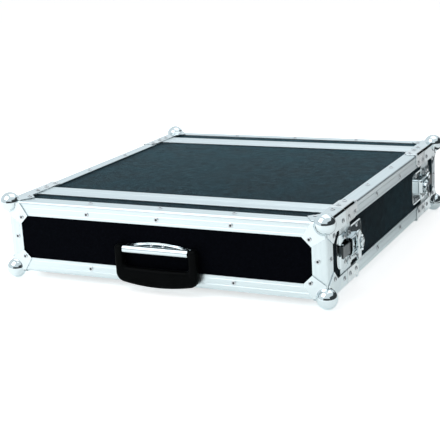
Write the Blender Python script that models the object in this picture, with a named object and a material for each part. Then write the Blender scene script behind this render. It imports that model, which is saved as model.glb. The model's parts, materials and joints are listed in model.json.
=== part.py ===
"""Flight case for low 19 inch rack gear: a ply body between two lift-off lids.

The origin is on the ground, midway between the ball corners, +Z is up and -Y is the front.
Every sheet, extrusion, plate and moving latch piece is its own object.
"""

import math

import bmesh
import bpy
from mathutils import Matrix, Vector

# The case over its aluminium faces, and each lid from its face to the seam
CASE_WIDTH = 0.510
CASE_DEPTH = 0.540
CASE_HEIGHT = 0.1095
LID_DEPTH = 0.074

# Clearances: pieces that touch, the two rims at the seam, the tongue in its groove, and turning pieces
SEAT_GAP = 0.0003
SEAM_GAP = 0.0005
TONGUE_PLAY = 0.0005
RUNNING_PLAY = 0.0004

# One overrun serves every cut and every joined overlap
OVERRUN = 0.004

# Plywood
PANEL_THICKNESS = 0.0065

# Aluminium extrusions
PROFILE_WALL = 0.0015
EDGE_LEG = 0.022
EDGE_ROUND = 0.004
BODY_RIM_FLANGE = 0.017
LID_RIM_FLANGE = 0.025
RIM_INNER_FLANGE = 0.012
TONGUE_THICKNESS = 0.0026
TONGUE_HEIGHT = 0.005

# Pressed steel corners and braces
STEEL_PLATE = 0.0012
CORNER_SLIT = 0.0022
CORNER_LEG = 0.022
CORNER_TIP = 0.035
BALL_RADIUS = 0.015
BALL_INSET = 0.003
BRACE_LENGTH = 0.045
BRACE_BRIDGE = 0.005
BRACE_TAPER_LENGTH = 0.010
BRACE_TAPER_WIDTH = 0.006
BRACE_SEAM_INSET = 0.0008

# Rack rails, on the 19 inch standard: their legs and hole insets leave its opening and hole centres
RACK_UNIT = 0.04445
RACK_UNITS = 2
RACK_HOLE_SIZE = 0.0095
RACK_HOLE_FIRST = 0.00635
RACK_HOLE_SPACING = 0.015875
RACK_HOLES_PER_UNIT = 3
RAIL_WALL = 0.002
RAIL_FACE_LEG = 0.0214
RAIL_SIDE_LEG = 0.028
RAIL_HOLE_INSET = 0.00755
RAIL_SETBACK = 0.014

# Butterfly latches: base plate, housing, and the spindle's distance from the seam
LATCH_PLATE = 0.0012
LATCH_SEAM_INSET = 0.002
LATCH_LENGTH = 0.066
LATCH_HALF_HEIGHT = 0.026
LATCH_TAIL_ROUND = 0.013
LATCH_SEAM_ROUND = 0.003
HOUSING_LENGTH = 0.0425
HOUSING_HALF_WIDTH = 0.0130
HOUSING_WALL = 0.0012
HOUSING_ROUND = 0.003
SPINDLE_FROM_SEAM = 0.030

# Latch claw: it is lifted and pushed out when released
CLAW_PLATE = 0.0015
CLAW_HALF_WIDTH = 0.0105
CLAW_NECK_HALF_WIDTH = 0.0080
CLAW_RISE = 0.0016
CLAW_PLAY = 0.0004
CLAW_HOOK = 0.002
CLAW_TAIL = 0.004
ECCENTRICITY = 0.004
ECCENTRIC_PIN_RADIUS = 0.0025

# Latch post, its cross pin and the butterfly wing
POST_NECK_RADIUS = 0.0052
POST_DISC_RADIUS = 0.0080
POST_DISC_HEIGHT = 0.0012
POST_HEAD_RADIUS = 0.0075
POST_HEAD_HEIGHT = 0.0050
WING_PIN_RADIUS = 0.0012
WING_PLATE = 0.0016
WING_REACH = 0.0215
WING_HALF_SPAN = 0.0215
WING_CURL = 0.0014
WING_KNUCKLE = 0.0036

# Latch keeper on the lid
KEEPER_LENGTH = 0.034
KEEPER_HALF_HEIGHT = 0.024
KEEPER_ROUND = 0.011
KEEPER_LIP_FROM_SEAM = 0.017
KEEPER_LIP = 0.002
KEEPER_LIP_HEIGHT = 0.0016
KEEPER_LIP_HALF_WIDTH = 0.009

# Carrying handle on the front lid
HANDLE_AXIS_HEIGHT = 0.052
HANDLE_AXIS_OUT = 0.0095
HANDLE_PLATE = 0.0015
HANDLE_PLATE_TAB_HEIGHT = 0.011
HANDLE_PLATE_CROWN = 0.0102
HANDLE_FLANGE = 0.0025
HANDLE_BARREL_RADIUS = 0.006
HANDLE_END_PLAY = 0.0008
HANDLE_TAB_LENGTH = 0.0076
HANDLE_ROD_RADIUS = 0.0025
GRIP_WIDTH = 0.131
GRIP_THICKNESS = 0.014
GRIP_ARM_WIDTH = 0.0125
GRIP_DROP = 0.0545
GRIP_BAR_HEIGHT = 0.0285
GRIP_BOW = 0.005
GRIP_CORNER_ROUND = 0.014
GRIP_WINDOW_ROUND = 0.007
GRIP_EDGE_ROUND = 0.0042

# Sides and steps of round shapes
BALL_SEGMENTS, BALL_RINGS = 16, 10
HOLLOW_SEGMENTS, HOLLOW_RINGS = 10, 6
PIN_SIDES = 12
POST_SIDES = 16
CROWN_STEPS = 12
BOW_STEPS = 8
QUARTER_STEPS = 3
GRIP_CORNER_STEPS = 5
GRIP_EDGE_STEPS = 2

# Angles in degrees: where the grip's corner runs into its bow, and the bends that shade smooth
GRIP_CORNER_STOP = -80
GRIP_EDGE_ANGLE = 60
SOFT_ANGLE = 40

# Worked out from the sizes above
SKIN = PROFILE_WALL + SEAT_GAP
LOW_Z = BALL_RADIUS - BALL_INSET
HIGH_Z = LOW_Z + CASE_HEIGHT
MID_Z = (LOW_Z + HIGH_Z) / 2
HALF_WIDTH = CASE_WIDTH / 2
HALF_DEPTH = CASE_DEPTH / 2
HALF_HEIGHT = CASE_HEIGHT / 2
SEAM_Y = HALF_DEPTH - LID_DEPTH
BODY_END_Y = SEAM_Y - SEAM_GAP / 2
LID_END_Y = SEAM_Y + SEAM_GAP / 2
GROOVE_DEPTH = TONGUE_HEIGHT + TONGUE_PLAY
RIM_DEPTH = SKIN + PANEL_THICKNESS + SKIN
INNER_HALF_WIDTH = HALF_WIDTH - SKIN - PANEL_THICKNESS
RAIL_OUTER = INNER_HALF_WIDTH - SEAT_GAP
RAIL_INNER = RAIL_OUTER - RAIL_FACE_LEG
BARREL_HALF_LENGTH = GRIP_WIDTH / 2 - GRIP_ARM_WIDTH - HANDLE_END_PLAY

PLY_LEVEL = SEAT_GAP - SKIN
CLAW_LOW = SEAT_GAP + LATCH_PLATE + KEEPER_LIP_HEIGHT + SEAT_GAP
HOUSING_ROOF_IN = CLAW_LOW + CLAW_PLATE + CLAW_RISE + SEAT_GAP + POST_DISC_HEIGHT + SEAT_GAP
HOUSING_ROOF_OUT = HOUSING_ROOF_IN + HOUSING_WALL
POST_HEAD_LOW = HOUSING_ROOF_OUT + SEAT_GAP
WING_AXIS_OUT = POST_HEAD_LOW + POST_HEAD_HEIGHT / 2
CLAW_STROKE = 2 * ECCENTRICITY
WING_KNUCKLE_IN = POST_HEAD_RADIUS + RUNNING_PLAY
WING_KNUCKLE_OUT = WING_KNUCKLE_IN + WING_KNUCKLE

ENDS = {"front": -1, "rear": 1}
SIDES = {"left": -1, "right": 1}
LEVELS = {"upper": True, "lower": False}


def material(name, colour, roughness, metallic):
    """A plain Principled material."""
    made = bpy.data.materials.new(name)
    made.use_nodes = True
    shader = made.node_tree.nodes["Principled BSDF"]
    shader.inputs["Base Color"].default_value = (*colour, 1)
    shader.inputs["Roughness"].default_value = roughness
    shader.inputs["Metallic"].default_value = metallic
    return made


def loft(bm, loops):
    """Adds a closed solid through loops of equal length, its first and last loop capped."""
    rings = [[bm.verts.new(point) for point in loop] for loop in loops]
    count = len(rings[0])
    for near, far in zip(rings, rings[1:]):
        for i in range(count):
            j = (i + 1) % count
            bm.faces.new((near[i], near[j], far[j], far[i]))
    bm.faces.new(list(reversed(rings[0])))
    bm.faces.new(rings[-1])
    return bm


def box(bm, low, high):
    """Adds a box between two corners."""
    (x0, y0, z0), (x1, y1, z1) = low, high
    corners = [(x0, y0), (x1, y0), (x1, y1), (x0, y1)]
    return loft(bm, [[(x, y, z) for x, y in corners] for z in (z0, z1)])


def prism(bm, outline, low, high):
    """Adds an outline in the first two axes, drawn out along the third from low to high."""
    return loft(bm, [[(a, b, c) for a, b in outline] for c in (low, high)])


def arc(centre, radius, start, end, steps):
    """Points on an arc, angles in degrees."""
    angles = [math.radians(start + (end - start) * i / steps) for i in range(steps + 1)]
    return [(centre[0] + radius * math.cos(a), centre[1] + radius * math.sin(a)) for a in angles]


def rounded_outline(corners):
    """An outline from (a, b, radius, start angle) corners, each a quarter turn anticlockwise."""
    points = []
    for a, b, radius, start in corners:
        turn = math.radians(start + 45)
        inset = radius * math.sqrt(2)
        centre = (a - inset * math.cos(turn), b - inset * math.sin(turn))
        points += arc(centre, radius, start, start + 90, QUARTER_STEPS)
    return points


def cylinder(bm, centre, radius, low, high, sides, top_radius=None):
    """Adds an upright round bar in the third axis, narrower at its top if asked."""
    loops = []
    for r, c in ((radius, low), (radius if top_radius is None else top_radius, high)):
        turn = [2 * math.pi * i / sides for i in range(sides)]
        loops.append([(centre[0] + r * math.cos(a), centre[1] + r * math.sin(a), c) for a in turn])
    return loft(bm, loops)


def solid(build, *arguments):
    """A new mesh holding one shape."""
    bm = bmesh.new()
    build(bm, *arguments)
    bmesh.ops.recalc_face_normals(bm, faces=bm.faces)
    return bm


def as_object(bm, name):
    """Turns a bmesh into a linked object and frees it."""
    mesh = bpy.data.meshes.new(name)
    bm.to_mesh(mesh)
    bm.free()
    made = bpy.data.objects.new(name, mesh)
    bpy.context.scene.collection.objects.link(made)
    return made


def boolean(bm, tool, operation):
    """The exact union, difference or intersection of two meshes, both used up."""
    base, cutter = as_object(bm, "base"), as_object(tool, "tool")
    step = base.modifiers.new("boolean", "BOOLEAN")
    step.object = cutter
    step.operation = operation
    evaluated = base.evaluated_get(bpy.context.evaluated_depsgraph_get())
    result = bmesh.new()
    result.from_mesh(evaluated.to_mesh())
    evaluated.to_mesh_clear()
    for used in (base, cutter):
        data = used.data
        bpy.data.objects.remove(used)
        bpy.data.meshes.remove(data)
    return result


def mapped(bm, matrix):
    """The same mesh carried by a matrix, its faces still turned outwards after a mirror."""
    bm.transform(matrix)
    if matrix.determinant() < 0:
        bmesh.ops.reverse_faces(bm, faces=bm.faces)
    return bm


def piece(name, bm, finish, origin=(0, 0, 0), smooth=None):
    """Names a finished mesh, puts its origin on its own pivot, and gives it its material."""
    bmesh.ops.translate(bm, verts=bm.verts, vec=-Vector(origin))
    made = as_object(bm, name)
    made.location = origin
    made.data.materials.append(finish)
    if smooth:
        made.data.shade_smooth()
        made.data.set_sharp_from_angle(angle=math.radians(smooth))
    return made


def frame_ring(bm, section):
    """Adds a frame round the case, mitred at its four corners.

    The section's points are (depth in from the outer face, y).
    """
    rings = []
    for side, rise in ((1, 1), (-1, 1), (-1, -1), (1, -1)):
        loop = []
        for depth, y in section:
            x, z = side * (HALF_WIDTH - depth), MID_Z + rise * (HALF_HEIGHT - depth)
            loop.append(bm.verts.new((x, y, z)))
        rings.append(loop)
    count = len(section)
    for near, far in zip(rings, rings[1:] + rings[:1]):
        for i in range(count):
            j = (i + 1) % count
            bm.faces.new((near[i], near[j], far[j], far[i]))
    return bm


def edge_angle_section():
    """The rounded L of the edge angle, (a, b) measured in from its two outer faces."""
    outer = arc((EDGE_ROUND, EDGE_ROUND), EDGE_ROUND, 180, 270, QUARTER_STEPS)
    inner = [(EDGE_LEG, PROFILE_WALL), (PROFILE_WALL, PROFILE_WALL), (PROFILE_WALL, EDGE_LEG)]
    return [(0, EDGE_LEG)] + outer + [(EDGE_LEG, 0)] + inner


def long_angle(bm, side, top, y0, y1):
    """Adds an edge angle along the case's depth, at one of its four long edges."""
    section = edge_angle_section()
    loops = []
    for y in (y0, y1):
        loop = []
        for a, b in section:
            z = HIGH_Z - b if top else LOW_Z + b
            loop.append(((HALF_WIDTH - a) * side, y, z))
        loops.append(loop)
    return loft(bm, loops)


def body_rim_section(end):
    """The body's closing profile: a channel over the ply's edge with a tongue on its end wall."""
    tongue_low = PROFILE_WALL + TONGUE_PLAY
    tongue_high = tongue_low + TONGUE_THICKNESS
    inner = RIM_DEPTH - PROFILE_WALL
    points = [
        (0, 0),
        (0, BODY_RIM_FLANGE),
        (PROFILE_WALL, BODY_RIM_FLANGE),
        (PROFILE_WALL, PROFILE_WALL),
        (inner, PROFILE_WALL),
        (inner, RIM_INNER_FLANGE),
        (RIM_DEPTH, RIM_INNER_FLANGE),
        (RIM_DEPTH, 0),
        (tongue_high, 0),
        (tongue_high, -TONGUE_HEIGHT),
        (tongue_low, -TONGUE_HEIGHT),
        (tongue_low, 0),
    ]
    return [(d, end * (BODY_END_Y - y)) for d, y in points]


def lid_rim_section(end):
    """The lid's closing profile: its channel sits back, and a rib makes the tongue's groove."""
    rib_low = PROFILE_WALL + 2 * TONGUE_PLAY + TONGUE_THICKNESS
    rib_high = rib_low + PROFILE_WALL
    inner = RIM_DEPTH - PROFILE_WALL
    wall_back = GROOVE_DEPTH + PROFILE_WALL
    points = [
        (0, 0),
        (0, LID_RIM_FLANGE),
        (PROFILE_WALL, LID_RIM_FLANGE),
        (PROFILE_WALL, wall_back),
        (inner, wall_back),
        (inner, GROOVE_DEPTH + RIM_INNER_FLANGE),
        (RIM_DEPTH, GROOVE_DEPTH + RIM_INNER_FLANGE),
        (RIM_DEPTH, GROOVE_DEPTH),
        (rib_high, GROOVE_DEPTH),
        (rib_high, 0),
        (rib_low, 0),
        (rib_low, GROOVE_DEPTH),
        (PROFILE_WALL, GROOVE_DEPTH),
        (PROFILE_WALL, 0),
    ]
    return [(d, end * (LID_END_Y + y)) for d, y in points]


def corner_sphere(radius, segments, rings):
    """A sphere at a ball corner's centre."""
    bm = bmesh.new()
    centre = Matrix.Translation((BALL_INSET,) * 3)
    bmesh.ops.create_uvsphere(bm, u_segments=segments, v_segments=rings, radius=radius, matrix=centre)
    return bm


def ball_corner_mesh():
    """One pressed ball corner. The case's corner is the origin, and the case fills +X, +Y and +Z.

    Its front leg is short, and its other two run back along the edge to the seam.
    """
    low, high = -(SEAT_GAP + STEEL_PLATE), -SEAT_GAP
    seat = (low + high) / 2
    ball = corner_sphere(BALL_RADIUS, BALL_SEGMENTS, BALL_RINGS)
    ball = boolean(ball, solid(box, (seat,) * 3, (2 * BALL_RADIUS,) * 3), "DIFFERENCE")
    reach = LID_DEPTH - BRACE_SEAM_INSET
    start, edge, tip = CORNER_SLIT, CORNER_LEG, CORNER_TIP
    short = [(start, start), (edge, start), (tip, edge), (edge, tip), (start, edge)]
    long = short[:4] + [(edge, reach), (start, reach)]
    leaves = [
        [[(u, c, v) for u, v in short] for c in (low, high)],
        [[(u, v, c) for u, v in long] for c in (low, high)],
        [[(c, v, u) for u, v in long] for c in (low, high)],
    ]
    for leaf in leaves:
        ball = boolean(ball, solid(loft, leaf), "UNION")
    hollow = corner_sphere(BALL_RADIUS - STEEL_PLATE, HOLLOW_SEGMENTS, HOLLOW_RINGS)
    return boolean(ball, hollow, "DIFFERENCE")


def fold_mesh(start, stop):
    """The bend that joins a brace's two leaves over the case's long edge."""
    low, high = -(SEAT_GAP + STEEL_PLATE), -SEAT_GAP
    tab = 2 * CORNER_SLIT
    outline = [(low, low), (tab, low), (tab, high), (high, high), (high, tab), (low, tab)]
    return solid(loft, [[(a, y, c) for a, c in outline] for y in (start, stop)])


def brace_mesh():
    """One brace. The edge runs along +Y from the seam, and the case fills +X and +Z."""
    low, high = -(SEAT_GAP + STEEL_PLATE), -SEAT_GAP
    start, edge = CORNER_SLIT, CORNER_LEG
    outline = [
        (start, 0),
        (edge, 0),
        (edge, BRACE_LENGTH - BRACE_TAPER_LENGTH),
        (edge - BRACE_TAPER_WIDTH, BRACE_LENGTH),
        (start, BRACE_LENGTH),
    ]
    brace = fold_mesh(BRACE_LENGTH - BRACE_BRIDGE, BRACE_LENGTH)
    for leaf in (
        [[(u, v, c) for u, v in outline] for c in (low, high)],
        [[(c, v, u) for u, v in outline] for c in (low, high)],
    ):
        brace = boolean(brace, solid(loft, leaf), "UNION")
    return brace


def corner_matrix(side, end, top):
    """Carries a mesh from the +++ corner frame to one corner of the case."""
    place = Matrix.Translation((side * HALF_WIDTH, end * HALF_DEPTH, HIGH_Z if top else LOW_Z))
    return place @ Matrix.Diagonal((-side, -end, -1 if top else 1, 1))


def brace_matrix(side, end, top):
    """Carries a brace to the seam, running into the body."""
    seam_y = end * (SEAM_Y - BRACE_SEAM_INSET)
    place = Matrix.Translation((side * HALF_WIDTH, seam_y, HIGH_Z if top else LOW_Z))
    return place @ Matrix.Diagonal((-side, -end, -1 if top else 1, 1))


def latch_matrix(side, end):
    """Carries latch coordinates to a wall: a from the seam into the body, b up, c outwards."""
    place = Matrix.Translation((side * HALF_WIDTH, end * SEAM_Y, MID_Z))
    turn = Matrix(((0, 0, side, 0), (-end, 0, 0, 0), (0, 1, 0, 0), (0, 0, 0, 1)))
    return place @ turn


def cranked_plate(outline, step_at, inner, outer, raised=None):
    """A flat plate that steps down from the rim's flange to the ply beyond it.

    What is raised on it joins it first, and is cut away over the rim with it.
    """
    plate = solid(prism, outline, PLY_LEVEL, SEAT_GAP + LATCH_PLATE)
    reach = LATCH_HALF_HEIGHT + OVERRUN
    crank = step_at + math.copysign(LATCH_PLATE, outer - step_at)
    over_low = (min(crank, outer), -reach, PLY_LEVEL + LATCH_PLATE)
    over_high = (max(crank, outer), reach, OVERRUN)
    plate = boolean(plate, solid(box, over_low, over_high), "DIFFERENCE")
    if raised:
        plate = boolean(plate, raised, "UNION")
    under_low = (min(step_at, inner), -reach, -OVERRUN)
    under_high = (max(step_at, inner), reach, SEAT_GAP)
    return boolean(plate, solid(box, under_low, under_high), "DIFFERENCE")


def latch_base_mesh():
    """The latch's plate with its raised housing, open towards the seam."""
    start, stop = LATCH_SEAM_INSET, LATCH_SEAM_INSET + LATCH_LENGTH
    tall = LATCH_HALF_HEIGHT
    outline = rounded_outline(
        [
            (stop, tall, LATCH_TAIL_ROUND, 0),
            (start, tall, LATCH_SEAM_ROUND, 90),
            (start, -tall, LATCH_SEAM_ROUND, 180),
            (stop, -tall, LATCH_TAIL_ROUND, 270),
        ]
    )
    step_at = BODY_RIM_FLANGE + SEAM_GAP / 2 + SEAT_GAP
    end = start + HOUSING_LENGTH
    wide = HOUSING_HALF_WIDTH
    shell = rounded_outline(
        [
            (end, wide, HOUSING_ROUND, 0),
            (start, wide, LATCH_SEAM_ROUND, 90),
            (start, -wide, LATCH_SEAM_ROUND, 180),
            (end, -wide, HOUSING_ROUND, 270),
        ]
    )
    middle = (start + end) / 2
    narrower = 1 - HOUSING_WALL / wide
    shorter = 1 - HOUSING_WALL / (end - middle)
    shoulder = [(middle + (a - middle) * shorter, b * narrower) for a, b in shell]
    foot = PLY_LEVEL + LATCH_PLATE / 2
    levels = ((foot, shell), (HOUSING_ROOF_OUT - HOUSING_WALL, shell), (HOUSING_ROOF_OUT, shoulder))
    housing = solid(loft, [[(a, b, c) for a, b in ring] for c, ring in levels])
    base = cranked_plate(outline, step_at, start - OVERRUN, stop + OVERRUN, housing)
    room_low = (start - OVERRUN, -(wide - HOUSING_WALL), SEAT_GAP + LATCH_PLATE)
    room_high = (end - HOUSING_WALL, wide - HOUSING_WALL, HOUSING_ROOF_IN)
    base = boolean(base, solid(box, room_low, room_high), "DIFFERENCE")
    bore = solid(
        cylinder,
        (SPINDLE_FROM_SEAM, 0),
        POST_NECK_RADIUS + RUNNING_PLAY,
        HOUSING_ROOF_IN - HOUSING_WALL,
        HOUSING_ROOF_OUT + OVERRUN,
        POST_SIDES,
    )
    return boolean(base, bore, "DIFFERENCE")


def post_mesh():
    """The turning post: an eccentric pin under a disc, a neck, and a head with its cross pin."""
    centre = (SPINDLE_FROM_SEAM, 0)
    disc_low = HOUSING_ROOF_IN - SEAT_GAP - POST_DISC_HEIGHT
    pin_low = CLAW_LOW - CLAW_PLAY
    rounds = [
        (centre, POST_DISC_RADIUS, disc_low, disc_low + POST_DISC_HEIGHT),
        (centre, POST_NECK_RADIUS, disc_low + POST_DISC_HEIGHT / 2, POST_HEAD_LOW + POST_HEAD_HEIGHT / 4),
        (centre, POST_HEAD_RADIUS, POST_HEAD_LOW, POST_HEAD_LOW + POST_HEAD_HEIGHT),
    ]
    post = solid(
        cylinder,
        (SPINDLE_FROM_SEAM - ECCENTRICITY, 0),
        ECCENTRIC_PIN_RADIUS,
        pin_low,
        disc_low + POST_DISC_HEIGHT / 2,
        PIN_SIDES,
    )
    for middle, radius, low, high in rounds:
        post = boolean(post, solid(cylinder, middle, radius, low, high, POST_SIDES), "UNION")
    return boolean(post, cross_bar(WING_PIN_RADIUS, WING_KNUCKLE_OUT), "UNION")


def cross_bar(radius, half):
    """A round bar through the post's head, along the wing's hinge axis."""
    bar = solid(cylinder, (0, 0), radius, -half, half, PIN_SIDES)
    turn = Matrix.Translation((SPINDLE_FROM_SEAM, 0, WING_AXIS_OUT)) @ Matrix.Rotation(math.pi / 2, 4, "X")
    return mapped(bar, turn)


def wing_mesh():
    """The butterfly wing, folded down towards the seam: two lobes on knuckles beside the head."""
    notch, knuckle_out = WING_KNUCKLE_IN, WING_KNUCKLE_OUT
    bridge = notch + WING_PLATE
    half = [
        (bridge, 0),
        (bridge, notch),
        (-WING_PLATE, notch),
        (-WING_PLATE, knuckle_out),
        (notch / 2, knuckle_out),
        (notch / 2, WING_HALF_SPAN - WING_KNUCKLE),
        (notch, WING_HALF_SPAN),
        (WING_REACH - WING_KNUCKLE, WING_HALF_SPAN),
        (WING_REACH, WING_HALF_SPAN - WING_KNUCKLE),
        (WING_REACH, knuckle_out),
        (WING_REACH - WING_KNUCKLE, notch / 2),
    ]
    outline = half + [(WING_REACH - WING_KNUCKLE, 0)] + [(a, -b) for a, b in reversed(half)][:-1]
    low = WING_AXIS_OUT - WING_PLATE / 2
    knuckle_radius = WING_PIN_RADIUS + RUNNING_PLAY + WING_PLATE / 2
    hinge = Matrix.Translation((SPINDLE_FROM_SEAM, 0, WING_AXIS_OUT))
    wing = solid(prism, [(SPINDLE_FROM_SEAM - a, b) for a, b in outline], low, low + WING_PLATE)
    for way in (-1, 1):
        barrel = solid(cylinder, (0, 0), knuckle_radius, notch, knuckle_out, PIN_SIDES)
        turn = Matrix.Rotation(-way * math.pi / 2, 4, "X")
        wing = boolean(wing, mapped(barrel, hinge @ turn), "UNION")
    bore = cross_bar(WING_PIN_RADIUS + RUNNING_PLAY, knuckle_out + OVERRUN)
    wing = boolean(wing, bore, "DIFFERENCE")
    for vertex in wing.verts:
        share = max(0, abs(vertex.co.y) - knuckle_out) / (WING_HALF_SPAN - knuckle_out)
        vertex.co.z += WING_CURL * share * share
    return wing


def claw_mesh():
    """The draw claw as it stands released: lifted, and pushed out past the keeper's lip."""
    slot_at = SPINDLE_FROM_SEAM - ECCENTRICITY
    slot_half = ECCENTRIC_PIN_RADIUS + ECCENTRICITY / 4 + CLAW_PLAY
    slot_long = ECCENTRIC_PIN_RADIUS + ECCENTRICITY + CLAW_PLAY
    hook_in = -(KEEPER_LIP_FROM_SEAM + KEEPER_LIP + SEAT_GAP) - CLAW_STROKE
    tip = hook_in - CLAW_HOOK
    tail = slot_at + slot_half + CLAW_TAIL
    wide, neck = CLAW_HALF_WIDTH, CLAW_NECK_HALF_WIDTH
    shoulder = slot_at - slot_half - CLAW_TAIL
    outline = [
        (tail, -wide),
        (tail, wide),
        (shoulder, wide),
        (shoulder - CLAW_TAIL, neck),
        (tip, neck),
        (tip, -neck),
        (shoulder - CLAW_TAIL, -neck),
        (shoulder, -wide),
    ]
    low = CLAW_LOW + CLAW_RISE
    claw = solid(prism, outline, low, low + CLAW_PLATE)
    hook_low = SEAT_GAP + LATCH_PLATE + CLAW_PLAY + CLAW_RISE
    hook = solid(box, (tip, -neck, hook_low), (hook_in, neck, low + CLAW_PLATE / 2))
    claw = boolean(claw, hook, "UNION")
    slot_low = (slot_at - slot_half, -slot_long, low - OVERRUN)
    slot_high = (slot_at + slot_half, slot_long, low + OVERRUN)
    return boolean(claw, solid(box, slot_low, slot_high), "DIFFERENCE")


def keeper_mesh():
    """The keeper on the lid: a cranked plate with the lip that the claw draws on."""
    start, stop = -LATCH_SEAM_INSET, -LATCH_SEAM_INSET - KEEPER_LENGTH
    tall = KEEPER_HALF_HEIGHT
    outline = rounded_outline(
        [
            (start, tall, LATCH_SEAM_ROUND, 0),
            (stop, tall, KEEPER_ROUND, 90),
            (stop, -tall, KEEPER_ROUND, 180),
            (start, -tall, LATCH_SEAM_ROUND, 270),
        ]
    )
    step_at = -(LID_RIM_FLANGE + SEAM_GAP / 2 + SEAT_GAP)
    plate = cranked_plate(outline, step_at, start + OVERRUN, stop - OVERRUN)
    near = -KEEPER_LIP_FROM_SEAM
    foot = SEAT_GAP + LATCH_PLATE / 2
    top = SEAT_GAP + LATCH_PLATE + KEEPER_LIP_HEIGHT
    half = KEEPER_LIP_HALF_WIDTH
    lip = solid(box, (near - KEEPER_LIP, -half, foot), (near, half, top))
    return boolean(plate, lip, "UNION")


def rail_mesh(side, end):
    """One rack rail: a steel angle with square holes in the flange that faces its opening."""
    height = RACK_UNIT * RACK_UNITS
    bottom = MID_Z - height / 2
    outer, inner = RAIL_OUTER, RAIL_INNER
    face_y = end * (SEAM_Y - RAIL_SETBACK)
    rail = bmesh.new()
    near, far = sorted((face_y, face_y - end * RAIL_WALL))
    corner = sorted((side * inner, side * outer))
    box(rail, (corner[0], near, bottom), (corner[1], far, bottom + height))
    bmesh.ops.recalc_face_normals(rail, faces=rail.faces)
    leg_x = sorted((side * outer, side * (outer - RAIL_WALL)))
    leg_y = sorted((face_y, face_y - end * RAIL_SIDE_LEG))
    leg = solid(box, (leg_x[0], leg_y[0], bottom), (leg_x[1], leg_y[1], bottom + height))
    rail = boolean(rail, leg, "UNION")
    holes = bmesh.new()
    half = RACK_HOLE_SIZE / 2
    middle_x = side * (inner + RAIL_HOLE_INSET)
    for unit in range(RACK_UNITS):
        for step in range(RACK_HOLES_PER_UNIT):
            z = bottom + unit * RACK_UNIT + RACK_HOLE_FIRST + step * RACK_HOLE_SPACING
            low = (middle_x - half, near - OVERRUN, z - half)
            box(holes, low, (middle_x + half, far + OVERRUN, z + half))
    bmesh.ops.recalc_face_normals(holes, faces=holes.faces)
    return boolean(rail, holes, "DIFFERENCE")


def handle_axis():
    """A point on the handle's hinge axis, in front of the lid's board."""
    return Vector((0, -HALF_DEPTH + SKIN - HANDLE_AXIS_OUT, LOW_Z + HANDLE_AXIS_HEIGHT))


def along_x(radius, half, sides):
    """A round bar on the handle's axis, along X."""
    bar = solid(cylinder, (0, 0), radius, -half, half, sides)
    return mapped(bar, Matrix.Translation(handle_axis()) @ Matrix.Rotation(math.pi / 2, 4, "Y"))


def handle_plate_mesh():
    """The half-moon handle plate, which slopes out to the barrel that the handle's rod turns in."""
    axis = handle_axis()
    half = BARREL_HALF_LENGTH
    span = half - HANDLE_TAB_LENGTH
    foot = -HANDLE_BARREL_RADIUS
    tab = foot + HANDLE_PLATE_TAB_HEIGHT
    crown = []
    for i in range(CROWN_STEPS + 1):
        share = 1 - 2 * i / CROWN_STEPS
        crown.append((span * share, tab + (HANDLE_PLATE_CROWN - tab) * (1 - share * share)))
    outline = [(-half, foot), (half, foot), (half, tab)] + crown + [(-half, tab)]
    back_y = -HALF_DEPTH + SKIN - SEAT_GAP
    loops = [[(x, y, axis.z + z) for x, z in outline] for y in (back_y - HANDLE_PLATE, back_y)]
    plate = solid(loft, loops)
    barrel = along_x(HANDLE_BARREL_RADIUS, half, POST_SIDES)
    root = HANDLE_AXIS_OUT - SEAT_GAP - HANDLE_PLATE / 2
    slopes = [[(x, axis.y + y, axis.z + z) for y, z in handle_slope(root, top)] for x, top in crown]
    plate = boolean(boolean(plate, barrel, "UNION"), solid(loft, slopes), "UNION")
    bore = along_x(HANDLE_ROD_RADIUS + RUNNING_PLAY, half + OVERRUN, PIN_SIDES)
    return boolean(plate, bore, "DIFFERENCE")


def handle_slope(root, crown):
    """One section of the sheet from the plate to the barrel, (y, z) from the hinge axis.

    It leaves the plate below its crown and meets the barrel as a tangent.
    """
    top = crown - HANDLE_FLANGE
    reach = math.hypot(root, top)
    turn = math.atan2(top, root) + math.acos(HANDLE_BARREL_RADIUS / reach)
    touch = (HANDLE_BARREL_RADIUS * math.cos(turn), HANDLE_BARREL_RADIUS * math.sin(turn))
    foot = -HANDLE_BARREL_RADIUS / 2
    return [(root, top), touch, (0, 0), (0, foot), (root, foot)]


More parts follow.
